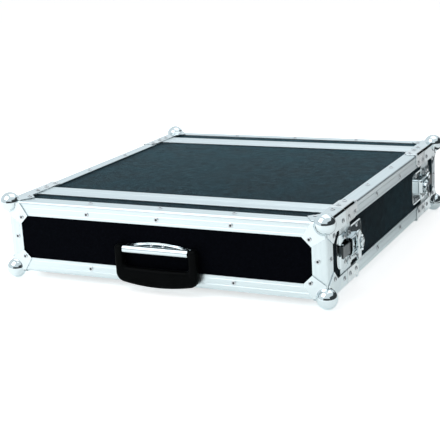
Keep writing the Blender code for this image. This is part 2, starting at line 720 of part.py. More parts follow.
def grip_mesh():
    """The moulded grip: two arms and a bowed bar with rounded edges, the rod moulded into its arms."""
    axis = handle_axis()
    half = GRIP_WIDTH / 2
    arm_in = half - GRIP_ARM_WIDTH
    round_top = GRIP_THICKNESS / 2
    bar_low = -GRIP_DROP + GRIP_BOW
    bar_top = bar_low + GRIP_BAR_HEIGHT - GRIP_BOW
    right = [(arm_in, round_top), (half - round_top / 2, round_top), (half, round_top / 2)]
    centre = (half - GRIP_CORNER_ROUND, bar_low + GRIP_CORNER_ROUND)
    turn = arc(centre, GRIP_CORNER_ROUND, 0, GRIP_CORNER_STOP, GRIP_CORNER_STEPS)
    right += turn
    bow = []
    edge = turn[-1][0]
    for i in range(1, BOW_STEPS):
        share = 1 - 2 * i / BOW_STEPS
        bow.append((edge * share, turn[-1][1] - GRIP_BOW * (1 - share * share)))
    window = GRIP_WINDOW_ROUND
    left = [(-x, z) for x, z in reversed(right)]
    inner = arc((-(arm_in - window), bar_top + window), window, 180, 270, QUARTER_STEPS)
    inner += arc((arm_in - window, bar_top + window), window, 270, 360, QUARTER_STEPS)
    outline = right + bow + left + inner
    y0, y1 = axis.y - GRIP_THICKNESS / 2, axis.y + GRIP_THICKNESS / 2
    grip = solid(loft, [[(x, y, axis.z + z) for x, z in outline] for y in (y0, y1)])
    shape = as_object(grip, "grip_shape")
    soften = shape.modifiers.new("soften", "BEVEL")
    soften.width = GRIP_EDGE_ROUND
    soften.segments = GRIP_EDGE_STEPS
    soften.limit_method = "ANGLE"
    soften.angle_limit = math.radians(GRIP_EDGE_ANGLE)
    evaluated = shape.evaluated_get(bpy.context.evaluated_depsgraph_get())
    result = bmesh.new()
    result.from_mesh(evaluated.to_mesh())
    evaluated.to_mesh_clear()
    bpy.data.objects.remove(shape)
    rod = along_x(HANDLE_ROD_RADIUS, half - GRIP_ARM_WIDTH / 2, PIN_SIDES)
    return boolean(result, rod, "UNION")


def build_body(finishes):
    """The fixed body: four panels, four edge angles, two rims, eight braces and four rails."""
    ply_end = BODY_END_Y - PROFILE_WALL - SEAT_GAP
    out_x, in_x = HALF_WIDTH - SKIN, INNER_HALF_WIDTH
    floor_z, roof_z = LOW_Z + SKIN, HIGH_Z - SKIN
    low, high = floor_z + PANEL_THICKNESS + SEAT_GAP, roof_z - PANEL_THICKNESS - SEAT_GAP
    panels = {
        "top": ((-out_x, -ply_end, roof_z - PANEL_THICKNESS), (out_x, ply_end, roof_z)),
        "bottom": ((-out_x, -ply_end, floor_z), (out_x, ply_end, floor_z + PANEL_THICKNESS)),
        "left": ((-out_x, -ply_end, low), (-in_x, ply_end, high)),
        "right": ((in_x, -ply_end, low), (out_x, ply_end, high)),
    }
    for name, corners in panels.items():
        piece(f"{name}_panel", solid(box, *corners), finishes["laminate"])
    angle_end = BODY_END_Y - BODY_RIM_FLANGE - SEAT_GAP
    for side_name, side in SIDES.items():
        for level_name, top in LEVELS.items():
            angle = solid(long_angle, side, top, -angle_end, angle_end)
            piece(f"{level_name}_{side_name}_edge_angle", angle, finishes["aluminium"], smooth=SOFT_ANGLE)
    brace = brace_mesh()
    for end_name, end in ENDS.items():
        rim = solid(frame_ring, body_rim_section(end))
        piece(f"body_{end_name}_rim", rim, finishes["aluminium"])
        for side_name, side in SIDES.items():
            piece(f"{end_name}_{side_name}_rack_rail", rail_mesh(side, end), finishes["zinc"])
            for level_name, top in LEVELS.items():
                name = f"{end_name}_{level_name}_{side_name}_brace"
                piece(name, mapped(brace.copy(), brace_matrix(side, end, top)), finishes["zinc"])
    brace.free()


def build_lid(name, end, finishes):
    """One lift-off lid: board, wall frame, edge frame, rim and four ball corners."""
    face_y = end * (HALF_DEPTH - SKIN)
    back_y = face_y - end * PANEL_THICKNESS
    y0, y1 = sorted((face_y, back_y))
    board_x = HALF_WIDTH - SKIN
    board = solid(box, (-board_x, y0, LOW_Z + SKIN), (board_x, y1, HIGH_Z - SKIN))
    piece(f"{name}_lid_board", board, finishes["laminate"])
    wall_y = (back_y - end * SEAT_GAP, end * (LID_END_Y + GROOVE_DEPTH + PROFILE_WALL + SEAT_GAP))
    outer, inner = SKIN, SKIN + PANEL_THICKNESS
    section = [(outer, wall_y[0]), (inner, wall_y[0]), (inner, wall_y[1]), (outer, wall_y[1])]
    piece(f"{name}_lid_walls", solid(frame_ring, section), finishes["laminate"])
    frame = solid(frame_ring, [(a, end * (HALF_DEPTH - b)) for a, b in edge_angle_section()])
    rim_back = LID_END_Y + LID_RIM_FLANGE + SEAT_GAP
    short = sorted((end * (HALF_DEPTH - EDGE_LEG + OVERRUN), end * rim_back))
    for side in SIDES.values():
        for top in LEVELS.values():
            frame = boolean(frame, solid(long_angle, side, top, *short), "UNION")
    piece(f"{name}_lid_edge_frame", frame, finishes["aluminium"], smooth=SOFT_ANGLE)
    rim = solid(frame_ring, lid_rim_section(end))
    piece(f"{name}_lid_rim", rim, finishes["aluminium"])
    corner = ball_corner_mesh()
    for side_name, side in SIDES.items():
        for level_name, top in LEVELS.items():
            placed = mapped(corner.copy(), corner_matrix(side, end, top))
            node = f"{name}_{level_name}_{side_name}_ball_corner"
            piece(node, placed, finishes["chrome"], smooth=SOFT_ANGLE)
    corner.free()


def build_latch(name, side, end, finishes):
    """One butterfly latch, its moving pieces on their own axes."""
    place = latch_matrix(side, end)
    spindle = place @ Vector((SPINDLE_FROM_SEAM, 0, POST_HEAD_LOW))
    hinge = place @ Vector((SPINDLE_FROM_SEAM, 0, WING_AXIS_OUT))
    claw_origin = place @ Vector((SPINDLE_FROM_SEAM - ECCENTRICITY, 0, CLAW_LOW + CLAW_RISE))
    chrome = finishes["chrome"]
    piece(f"{name}_latch_base", mapped(latch_base_mesh(), place), chrome)
    piece(f"{name}_latch_keeper", mapped(keeper_mesh(), place), chrome)
    piece(f"{name}_latch_post", mapped(post_mesh(), place), chrome, spindle, SOFT_ANGLE)
    piece(f"{name}_latch_claw", mapped(claw_mesh(), place), chrome, claw_origin)
    piece(f"{name}_latch_wing", mapped(wing_mesh(), place), chrome, hinge)


def build_handle(finishes):
    """The front lid's carrying handle, its grip on the hinge axis."""
    piece("handle_plate", handle_plate_mesh(), finishes["chrome"], smooth=SOFT_ANGLE)
    piece("handle_grip", grip_mesh(), finishes["plastic"], handle_axis(), SOFT_ANGLE)


def main():
    for old in list(bpy.data.objects):
        bpy.data.objects.remove(old)
    finishes = {
        "laminate": material("black laminate", (0.012, 0.013, 0.016), 0.5, 0),
        "aluminium": material("satin aluminium", (0.80, 0.82, 0.83), 0.38, 1),
        "zinc": material("zinc plated steel", (0.72, 0.75, 0.76), 0.3, 1),
        "chrome": material("chromed steel", (0.80, 0.82, 0.83), 0.1, 1),
        "plastic": material("black moulded plastic", (0.010, 0.010, 0.012), 0.4, 0),
    }
    build_body(finishes)
    for end_name, end in ENDS.items():
        build_lid(end_name, end, finishes)
        for side_name, side in SIDES.items():
            build_latch(f"{end_name}_{side_name}", side, end, finishes)
    build_handle(finishes)


main()
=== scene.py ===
"""Looks of the rack case: finishes, rounded pressings and mouldings, rivets, stage and camera."""

import json
import math

import bmesh
import bpy
import numpy as np
from bpy.props import FloatProperty, FloatVectorProperty, PointerProperty
from mathutils import Matrix, Vector


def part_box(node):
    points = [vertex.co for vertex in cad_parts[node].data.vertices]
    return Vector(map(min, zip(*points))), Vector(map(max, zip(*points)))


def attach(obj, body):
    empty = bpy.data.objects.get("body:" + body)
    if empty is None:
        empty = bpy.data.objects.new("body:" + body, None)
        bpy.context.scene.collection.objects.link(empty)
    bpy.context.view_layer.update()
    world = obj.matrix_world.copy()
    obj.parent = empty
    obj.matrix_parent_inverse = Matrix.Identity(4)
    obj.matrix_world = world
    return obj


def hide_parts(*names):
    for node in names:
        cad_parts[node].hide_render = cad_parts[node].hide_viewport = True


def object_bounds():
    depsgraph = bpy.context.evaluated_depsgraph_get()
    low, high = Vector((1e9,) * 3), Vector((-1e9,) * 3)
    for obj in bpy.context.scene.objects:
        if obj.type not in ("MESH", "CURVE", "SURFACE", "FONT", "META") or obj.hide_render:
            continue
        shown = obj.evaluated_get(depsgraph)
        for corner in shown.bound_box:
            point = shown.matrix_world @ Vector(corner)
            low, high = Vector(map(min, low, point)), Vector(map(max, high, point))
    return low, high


bl_info = {
    "name": "Rack case",
    "version": (1, 0, 0),
    "blender": (4, 5, 0),
    "location": "3D View > Sidebar > Rack case",
    "description": "Dresses the frame of a low rack case: profiles, corners, latches, handle and panels",
    "category": "Object",
}

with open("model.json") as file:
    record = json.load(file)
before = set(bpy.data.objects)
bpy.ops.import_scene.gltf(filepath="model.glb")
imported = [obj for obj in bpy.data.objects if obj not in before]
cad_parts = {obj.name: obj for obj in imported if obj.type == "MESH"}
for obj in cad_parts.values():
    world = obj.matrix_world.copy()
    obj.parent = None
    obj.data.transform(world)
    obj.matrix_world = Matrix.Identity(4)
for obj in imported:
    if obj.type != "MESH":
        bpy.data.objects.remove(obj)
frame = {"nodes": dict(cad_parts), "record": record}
CAD_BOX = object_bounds()

# Places read from the frame
EDGE_LOW, EDGE_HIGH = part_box("front_lid_edge_frame")
OUT_X = EDGE_HIGH[0]
OUT_Y = -EDGE_LOW[1]
LOW_Z, HIGH_Z = EDGE_LOW[2], EDGE_HIGH[2]
MID_Z = (LOW_Z + HIGH_Z) / 2
HALF_Z = (HIGH_Z - LOW_Z) / 2
LID_END_Y = -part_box("front_lid_rim")[1][1]
LID_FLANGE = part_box("front_lid_rim")[1][1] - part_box("front_lid_rim")[0][1]
ANGLE_LOW, ANGLE_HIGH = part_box("upper_right_edge_angle")
EDGE_LEG = ANGLE_HIGH[0] - ANGLE_LOW[0]
ANGLE_END_Y = ANGLE_HIGH[1]
BRACE_LOW, BRACE_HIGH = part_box("front_upper_right_brace")
BRACE_LENGTH = BRACE_HIGH[1] - BRACE_LOW[1]
BRACE_END_Y = -BRACE_LOW[1]
PLATE_OUT = BRACE_HIGH[0] - OUT_X
BALL_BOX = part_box("front_upper_right_ball_corner")
LEG_END_Y = -BALL_BOX[1][1]
BASE_LOW, BASE_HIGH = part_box("front_right_latch_base")
KEEPER_LOW, KEEPER_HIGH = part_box("front_right_latch_keeper")
WING_LOW, WING_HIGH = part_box("front_right_latch_wing")
POST_LOW, POST_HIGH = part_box("front_right_latch_post")
HANDLE_LOW, HANDLE_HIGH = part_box("handle_plate")
GRIP_LOW, GRIP_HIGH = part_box("handle_grip")
JOINTS = {joint["name"]: joint for joint in frame["record"]["behaviour"]["joints"]}
GRIP_AXIS = Vector(JOINTS["handle_swing"]["pos_m"])
SPINDLE = Vector(JOINTS["front_right_latch_wing_fold"]["pos_m"])
PLY_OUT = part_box("right_panel")[1][0] - OUT_X

# The seam beside the lid rim's end, and the latch parts measured along y from the middle
SEAM_FROM_RIM = -0.00025
SEAM_Y = LID_END_Y + SEAM_FROM_RIM
BASE_START = SEAM_Y + BASE_LOW[1]
BASE_STOP = SEAM_Y + BASE_HIGH[1]
KEEPER_START = SEAM_Y + KEEPER_HIGH[1]
KEEPER_STOP = SEAM_Y + KEEPER_LOW[1]
SPINDLE_A = SEAM_Y + SPINDLE[1]

SIDES = {"left": -1, "right": 1}
ENDS = {"front": -1, "rear": 1}
LEVELS = {"upper": 1, "lower": -1}
LONG_EDGES = [(side, rise) for side in SIDES.values() for rise in LEVELS.values()]
CORNERS = [
    (end_name, f"{end_name}_{level_name}_{side_name}", (side, end, rise))
    for end_name, end in ENDS.items()
    for side_name, side in SIDES.items()
    for level_name, rise in LEVELS.items()
]

# The gap that touching pieces keep
SEAT_GAP = 0.0003

# Meshes: points closer than this are one, and angles in degrees at which faces meet sharply
MERGE_DISTANCE = 1e-6
BEVEL_ANGLE = 35
SHARP_ANGLE = 40
PROFILE_SHARP = 25
PRESSED_SHARP = 35
GRIP_SHARP = 50

# Extruded profiles: wall, outer round, and the fine lines drawn along them
WALL = 0.0015
EDGE_ROUND = 0.004
LINE_HALF = 0.0005
LINE_DEPTH = 0.0003
RIVET_LINE = 0.0135
RIVET_LINE_HALF = 0.0044
RIM_LINES = (0.0045, 0.0060)
RIM_INNER_FLANGE = 0.012
GROOVE_DEPTH = 0.0055
TONGUE_LOW, TONGUE_HIGH, TONGUE_HEIGHT = 0.0020, 0.0046, 0.005
RIB_LOW, RIB_HIGH = 0.0051, 0.0066
RIM_DEPTH = 0.0101
PROFILE_EDGE = 0.0003

# Pressed steel corners and braces
STEEL = PLATE_OUT - SEAT_GAP
SLIT = 0.0018
CORNER_LEG = 0.022
CORNER_TIP = 0.035
BALL_INSET = 0.003
BALL_FILLET = 0.003
FOLD_LENGTH = 0.005
TAPER_LENGTH = 0.010
TAPER_WIDTH = 0.006
PRESSED_EDGE = 0.00035
# Each slit holds a dark strip of painted shade: its thickness, and the angles in degrees where it starts and
# stops on the edge's round
SHADE_STRIP = 0.00015
SHADE_STRIP_START, SHADE_STRIP_STOP = 176, 274

# Latch pressings
LATCH_STEEL = 0.0012
LATCH_EDGE = 0.0002
ON_RIM = SEAT_GAP + LATCH_STEEL
ON_PLY = PLY_OUT + ON_RIM
LATCH_TAIL_ROUND = 0.013
ROUND_ROWS = 9
LATCH_NEAR_ROUND = 0.003
KEEPER_ROUND = 0.011
CRANK = 0.0012
HOUSING_HALF_WIDTH = 0.013
HOUSING_LENGTH = 0.0425
HOUSING_WALL = 0.0012
HOUSING_TOP = BASE_HIGH[0] - OUT_X
HOUSING_DOME = 0.004
HOUSING_TAPER = 0.28
HOUSING_POWER = 2 / 6
DOME_POWER = 0.6
LIP_HALF_WIDTH = 0.009
LIP_THICKNESS = 0.002
LIP_ROUND = 0.0008
LIP_FROM_SEAM = 0.017
BEAD_WIDTH = 0.0013
BEAD_HEIGHT = 0.0003
BEAD_INSET = 2.2 * BEAD_WIDTH
RIDGE_MIDDLE, RIDGE_WIDTH = 0.0145, 0.0028
RIDGE_RISE = (0.006, 0.010)
RIDGE_FALL = (0.021, 0.024)

# Latch post: head, neck, disc, eccentric pin and cross pin
HEAD_RADIUS = 0.0075
HEAD_EDGE = 0.0009
DISH_RIM, DISH_FLOOR = 0.62, 0.55
NECK_RADIUS = 0.0052
DISC_RADIUS = 0.0080
ECCENTRIC_RADIUS = 0.0025
ECCENTRIC_THROW = 0.004
CROSS_PIN_RADIUS = 0.0012
CROSS_PIN_EDGE = 0.0003

# Latch wing: sheet, notch behind the head, knuckles, lobes and the hollow pressed in each lobe;
# its outline steps within WING_STEP from notch to knuckle and from knuckle to lobe
WING_STEEL = 0.0016
WING_EDGE = 0.0003
WING_STEP = 0.00004
WING_NOTCH = 0.0079
WING_BRIDGE = 0.0095
KNUCKLE_END = 0.0115
KNUCKLE_BORE = 0.0016
KNUCKLE_EDGE = 0.0004
WING_TIP = 0.006
WING_CREST = 0.26
WING_SHOULDER, WING_SLOPE, WING_TIP_CUT = 0.0035, 0.25, 0.8
WING_CURL = 0.0014
HOLLOW_DEPTH = 0.0006
HOLLOW_B, HOLLOW_B_WIDTH = 0.017, 0.005
HOLLOW_A, HOLLOW_A_WIDTH = 0.0145, 0.006

# Handle
BARREL_RADIUS = 0.006
TAB_LENGTH = 0.0076
TAB_HEIGHT = 0.011
TAB_CORNER = 0.0025
PLATE_FLANGE = 0.0025
PLATE_BLEND = 0.0008
PLATE_FALL = math.radians(30)
PLATE_RIVET_X = 0.0095
PLATE_RIVET_OUT = 0.0022
PLATE_RIVET_RADIUS = 0.0022
GRIP_ARM = 0.0125
GRIP_CAP = 0.0045
GRIP_POWER = 2 / 3.2
GRIP_BAR = 0.0285
GRIP_BOW = 0.005
GRIP_CORNER = 0.014
GRIP_CORNER_EASE = 0.004
GRIP_CORNER_TURN = -82
GRIP_WINDOW = 0.007
GRIP_SAG = 0.0012
GRIP_STEPS = 14
GRIP_ROD = 0.0025

# Rivets and screws: heads turned from shares of radius and height, and their insets
RIVET_HEIGHT = 0.28
RIVET_PROFILE = ((0, 0), (1, 0), (1, 0.30), (0.90, 0.66), (0.68, 0.94), (0.50, 1), (0.46, 0.30), (0, 0.30))
SCREW_RADIUS, SCREW_HEIGHT = 0.0042, 0.0022
SCREW_PROFILE = ((0, 0), (1, 0), (1, 0.3), (0.8, 0.8), (0.45, 1), (0.42, 1), (0.36, 0.35), (0, 0.3))
SCREW_PITCH = 0.034
RAIL_STEEL = 0.002
CORNER_RIVET_INSET = 0.0042
BALL_RIVET_INSET = 0.012
BRACE_RIVET_INSETS = (0.010, 0.035)
BASE_RIVET_INSETS = (0.0072, 0.022)
BASE_RIVET_SIDE = 0.0075
BASE_RIVET_SPREAD = 0.002
KEEPER_RIVET_INSET = 0.0065

# Camera: found from the photograph's ball corners, in a 440 pixel frame
CAMERA_LENS = 90.65
CAMERA_SENSOR = 36.0
CAMERA_AZIMUTH = math.radians(26.46)
CAMERA_ELEVATION = math.radians(15.15)
CAMERA_ROLL = math.radians(-3.25)
CAMERA_DISTANCE = 1.829
CAMERA_TARGET = Vector((-0.0340, 0.0, MID_Z - 0.0336))

# Lamps: each one's place, the point it looks at, and its side
KEY_LAMP = ((-0.9, -1.5, 1.9), (0, 0, 0), 1.6)
TOP_LAMP = ((0.3, 0.5, 2.2), (0, 0, 0), 2.0)
LOW_LAMP = ((-2.3, 0.7, 0.9), (0, 0, 0.1), 1.2)

# Dark upright cards far round the case: start and stop on the floor, and height
CARDS = {
    "front card": ((-0.9, -3.3), (2.6, -2.4), 1.0),
    "right card": ((2.6, -2.4), (3.2, 0.7), 2.0),
    "back right card": ((3.2, 0.7), (1.7, 3.0), 2.4),
    "back card": ((1.7, 3.0), (0.2, 3.4), 1.02),
}

# A dark card that lies on the floor beside the right wall: height and corners
SIDE_CARD_HEIGHT = 0.002
SIDE_CARD = ((0.302, -0.045), (0.343, 0.068), (0.343, 0.04), (0.371, 0.117), (0.371, 1.1), (0.302, 1.1))

# The mirrored floor glows fully from the second y towards the front, and not at all behind the first
FLOOR_FADE = (0.9, -0.4)
FLOOR_TINT = (0.88, 1.0, 1.0)
FLOOR_COLOUR, FLOOR_ROUGHNESS, FLOOR_GLOSS = (0.86, 0.87, 0.88, 1), 0.6, 0.1
CARD_COLOUR, CARD_ROUGHNESS = (0.05, 0.06, 0.065, 1), 0.9

# Pebble grain: the cells' edges, the finer noise on them, and how many cells a finish has per metre
GRAIN_EDGES = (0.75, 0.15)
FINE_SCALE, FINE_DETAIL, FINE_SHARE = 2.3, 3.0, 0.5
LAMINATE_GRAIN, PLASTIC_GRAIN = 1150.0, 2200.0

# Handling marks: soft smudges, and two families of scratches with each one's turn and shift
SMUDGE_SCALE, SMUDGE_DETAIL, SMUDGE_RANGE = 14.0, 5.0, (0.38, 0.72)
SCRATCH_TURNS = ((0.35, 0.0), (-0.6, 3.1))
SCRATCH_TILT = (1, 1.7, 2.3)
SCRATCH_STRETCH = (700, 14, 700)
SCRATCH_RANGE = (0.70, 0.76)

# Drawn lines and wider bands along a profile: how often each repeats along the three axes
DRAWN = {"Lines": (5200, 9, 1), "Bands": (900, 3, 1)}
DRAWN_DETAIL = 3.0
BAND_SHARE, LINE_SHARE, TONE_RANGE = 0.7, 0.3, (0.30, 0.66)

# Laminate: mottling and flecks as noise, and the bluish sheen that flecks and smudges vary
MOTTLE = {"scale": 260.0, "detail": 3.0}
MOTTLE_RANGE, MOTTLE_GLOSS = (0.35, 0.70), 0.06
FLECKS = {"scale": 75.0, "detail": 5.0, "roughness": 0.7}
FLECK_RANGE = (0.36, 0.64)
SHEEN_TINT, SHEEN_ROUGHNESS, SHEEN_RANGE = (0.35, 0.80, 1.0, 1.0), 0.21, (0.35, 1.0)
FLECK_SHARE, SMUDGE_SHARE = 0.6, 0.4
LAMINATE_GLOSS, PLASTIC_GLOSS = 0.006, 0.02

# Roughness from clean to smudged, the scratches' part in it, and each plated metal's colour with the two
LAMINATE_ROUGH, PLASTIC_ROUGH, RIVET_ROUGH = (0.40, 0.50), (0.30, 0.44), (0.26, 0.40)
ALUMINIUM_ROUGH = (0.28, 0.42)
ALUMINIUM_SCRATCHED, METAL_SCRATCHED = 0.12, 0.15
METALS = {
    "polished chrome": ("chrome", (0.04, 0.08)),
    "plated steel": ("steel", (0.24, 0.42)),
    "burnished steel": ("claw", (0.30, 0.45)),
}
WAVES = {"scale": 160.0, "detail": 2.0}
# Edge of each rivet's hole in shares of its radius, and the hole's roughness; the hole's dark colour is
# partly the pin's own tone and partly painted shade in the recess
RIVET_HOLE, RIVET_HOLE_ROUGH = (0.44, 0.54), 0.8

# How much a finish's colour changes where it is speckled, between its bands, or smudged
SPECKLED, BANDED, METAL_SMUDGED, RIVET_SMUDGED, PLASTIC_SMUDGED = 2.0, 0.90, 0.88, 0.85, 1.6

# Relief of each finish: strength, and height in metres
RELIEF = {
    "laminate": (0.55, 0.00022),
    "aluminium": (0.16, 0.00010),
    "metal": (0.03, 0.0002),
    "rivet": (0.05, 0.0001),
    "plastic": (0.35, 0.00008),
}

# How finely curves are drawn: steps of an arc, sides of a turned piece, rows and columns of a sheet
EDGE_STEPS, OUTLINE_STEPS, SHADE_STRIP_STEPS, HEAD_STEPS = 6, 4, 14, 5
LEAF_STEPS, FILLET_POINTS = 8, 7
SIDES_OF_RODS, SIDES_OF_PIN, SIDES_OF_SCREW = 20, 16, 18
BASE_ROWS, KEEPER_ROWS, PLATE_COLUMNS = 90, 70, 49
HOUSING_ROWS, DOME_ROWS, HOUSING_COLUMNS = 5, 10, 41
WING_MIDDLE_ROWS, WING_KNUCKLE_ROWS, WING_SHOULDER_ROWS, WING_COLUMNS = 13, 4, 12, 15
TAB_ROWS, SPAN_ROWS, BLEND_COLUMNS, BARREL_COLUMNS = 12, 81, 9, 33
CAP_ROWS, GRIP_COLUMNS = 9, 41


def quads(rows, columns, wrap_columns):
    """Faces of a grid whose points are counted row by row; wrapped columns join the last to the first."""
    across = columns if wrap_columns else columns - 1
    r, c = np.meshgrid(np.arange(rows - 1), np.arange(across), indexing="ij")
    r1, c1 = r + 1, (c + 1) % columns
    ring = (r * columns + c, r * columns + c1, r1 * columns + c1, r1 * columns + c)
    return np.stack(ring, -1).reshape(-1, 4)


def stacked(*parts):
    """Coordinates whose arrays fit together, as one array of points."""
    return np.stack(np.broadcast_arrays(*parts), -1)


def grid_shape(points, wrap_columns=False, caps=False, uv=None):
    """A grid of points (rows, columns, 3) as (points, faces, uv), its open ends capped if asked.

    The caps are the first and last row of a grid whose columns wrap.
    """
    rows, columns = points.shape[:2]
    faces = quads(rows, columns, wrap_columns).tolist()
    if caps:
        first = np.arange(columns)[::-1]
        faces += [first.tolist(), (first[::-1] + (rows - 1) * columns).tolist()]
    flat = points.reshape(-1, 3)
    return flat, faces, flat[:, :2] if uv is None else uv.reshape(-1, 2)


def moved(shape, matrix):
    """A shape carried by a 4x4 matrix."""
    points, faces, uv = shape
    turn = np.array(matrix)
    return points @ turn[:3, :3].T + turn[:3, 3], faces, uv


def repeated(shape, places):
    """One shape copied to every 4x4 place at once: point = place's turn times point plus its step."""
    points, faces, uv = shape
    turns = np.array([np.array(place) for place in places])
    copies = np.einsum("kij,nj->kni", turns[:, :3, :3], points) + turns[:, None, :3, 3]
    shifted = [[i + k * len(points) for i in face] for k in range(len(places)) for face in faces]
    return copies.reshape(-1, 3), shifted, np.tile(uv, (len(places), 1))


def mesh_piece(name, shapes, finish, body, nodes, slot, bevel=0.0, sharp=SHARP_ANGLE):
    """One finished piece from its shapes: doubles merged, normals outwards, smooth by angle."""
    points, faces, uv, start = [], [], [], 0
    for shape_points, shape_faces, shape_uv in shapes:
        points.append(shape_points)
        faces += [[i + start for i in face] for face in shape_faces]
        uv.append(shape_uv)
        start += len(shape_points)
    mesh = bpy.data.meshes.new(name)
    mesh.from_pydata(np.concatenate(points).tolist(), [], faces)
    corner = np.empty(len(mesh.loops), np.int32)
    mesh.loops.foreach_get("vertex_index", corner)
    layer = mesh.uv_layers.new(name="surface")
    layer.data.foreach_set("uv", np.concatenate(uv)[corner].astype(np.float32).ravel())
    bm = bmesh.new()
    bm.from_mesh(mesh)
    bmesh.ops.remove_doubles(bm, verts=bm.verts, dist=MERGE_DISTANCE)
    bmesh.ops.recalc_face_normals(bm, faces=bm.faces)
    bm.to_mesh(mesh)
    bm.free()
    mesh.shade_smooth()
    mesh.set_sharp_from_angle(angle=math.radians(sharp))
    made = bpy.data.objects.new(name, mesh)
    bpy.context.scene.collection.objects.link(made)
    mesh.materials.append(bpy.data.materials[finish])
    if bevel:
        edge = made.modifiers.new("rounded edges", "BEVEL")
        edge.width = bevel
        edge.segments = 2
        edge.limit_method = "ANGLE"
        edge.angle_limit = math.radians(BEVEL_ANGLE)
        edge.harden_normals = True
    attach(made, body)
    if nodes:
        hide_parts(*nodes)


def profile_piece(node, shapes, body):
    """An aluminium profile that stands for one node of the frame."""
    looks = ("drawn aluminium", body, [node], "aluminium", PROFILE_EDGE, PROFILE_SHARP)
    mesh_piece(f"{node}_profile", shapes, *looks)


def pressed_piece(node, shapes, place, body, bevel, sharp=SHARP_ANGLE, finish=("polished chrome", "chrome")):
    """A pressing that stands for one node of the frame, its shapes carried to their place."""
    placed = [moved(shape, place) for shape in shapes]
    mesh_piece(f"{node}_pressing", placed, finish[0], body, [node], finish[1], bevel, sharp)


def arc(centre, radius, start, end, steps):
    """Points on an arc, angles in degrees."""
    angle = np.radians(np.linspace(start, end, steps + 1))
    return np.stack((centre[0] + radius * np.cos(angle), centre[1] + radius * np.sin(angle)), -1)


def rounded_outline(corners, radius):
    """A closed outline of four quarter rounds, anticlockwise from the corner (a, b) with both greatest."""
    parts = []
    for quarter, (a, b) in enumerate(corners):
        start = 90 * quarter
        turn = math.radians(start + 45)
        inset = radius * math.sqrt(2)
        centre = (a - inset * math.cos(turn), b - inset * math.sin(turn))
        parts.append(arc(centre, radius, start, start + 90, OUTLINE_STEPS))
    return np.concatenate(parts)


def plate_shape(outline, low, high):
    """An outline (n, 2) drawn out from c = low to c = high and capped."""
    levels = np.repeat((low, high), len(outline)).reshape(2, -1, 1)
    points = np.concatenate((np.tile(outline, (2, 1, 1)), levels), -1)
    return grid_shape(points, wrap_columns=True, caps=True)


def bar_shape(outline, start, stop):
    """An outline (n, 2) in x and z drawn out from y = start to y = stop and capped."""
    y = np.array((start, stop))[:, None]
    x, z = outline[:, 0][None], outline[:, 1][None]
    return grid_shape(stacked(x, y, z), wrap_columns=True, caps=True)


def level_z(rise):
    """The height of the case's top where rise is positive, and of its bottom otherwise."""
    return HIGH_Z if rise > 0 else LOW_Z


def lined(start, end, lines):
    """Depths along a flat run from start to end with V-shaped drawn lines: (along, depth) points."""
    run = [(start, 0.0)]
    for line in sorted(lines, reverse=start > end):
        way = 1 if end > start else -1
        run += [(line - way * LINE_HALF, 0.0), (line, LINE_DEPTH), (line + way * LINE_HALF, 0.0)]
    return np.array(run + [(end, 0.0)])


def angle_section():
    """The rounded L of the edge angle, (a, b) in from its two outer faces, with drawn lines."""
    lines = (RIVET_LINE - RIVET_LINE_HALF, RIVET_LINE + RIVET_LINE_HALF)
    down = lined(EDGE_LEG, EDGE_ROUND, lines)
    along = lined(EDGE_ROUND, EDGE_LEG, lines)
    corner = arc((EDGE_ROUND, EDGE_ROUND), EDGE_ROUND, 180, 270, EDGE_STEPS)[1:-1]
    inner = np.array([(EDGE_LEG, WALL), (WALL, WALL), (WALL, EDGE_LEG)])
    return np.concatenate((down[:, ::-1], corner, along, inner))


def lengths(section):
    """How far each point of a closed section lies along it."""
    step = np.linalg.norm(np.diff(section, axis=0), axis=1)
    return np.concatenate(((0.0,), np.cumsum(step)))


def frame_sweep(section):
    """A section (depth in, y) carried round the case's four edges, with rounded corners.

    The path turns by the angle t at each corner of a rectangle whose half sizes are the case's less
    the greater of depth and round, at a radius of the round less the depth, and never below zero.
    """
    closed = np.concatenate((section, section[:1]))
    steps = 7
    counts = (steps,) * 4 + (1,)
    quarters = [np.linspace(90 * k, 90 * k + 90, steps) for k in range(4)]
    turn = np.radians(np.concatenate((*quarters, (360.0,))))[:, None]
    side = np.repeat((1, -1, -1, 1, 1), counts)[:, None]
    rise = np.repeat((1, 1, -1, -1, 1), counts)[:, None]
    depth, y = closed[:, 0][None], closed[:, 1][None]
    inset, radius = np.maximum(EDGE_ROUND, depth), np.maximum(EDGE_ROUND - depth, 0)
    x = side * (OUT_X - inset) + radius * np.cos(turn)
    z = MID_Z + rise * (HALF_Z - inset) + radius * np.sin(turn)
    points = stacked(x, y, z)
    run = lengths(points[:, 0])
    uv = stacked(lengths(closed)[None], run[:, None])
    return grid_shape(points, uv=uv)


def straight_angle(side, rise, y0, y1):
    """The edge angle's section carried from y0 to y1 along one long edge of the case."""
    section = angle_section()
    closed = np.concatenate((section, section[:1]))
    y = np.array((y0, y1))[:, None]
    a, b = closed[:, 0][None], closed[:, 1][None]
    points = stacked(side * (OUT_X - a), y, level_z(rise) - rise * b)
    uv = stacked(lengths(closed)[None], y)
    points, faces, uv = grid_shape(points, uv=uv)
    count = len(closed)
    faces += [list(range(count - 1)), list(range(count, 2 * count - 1))[::-1]]
    return points, faces, uv


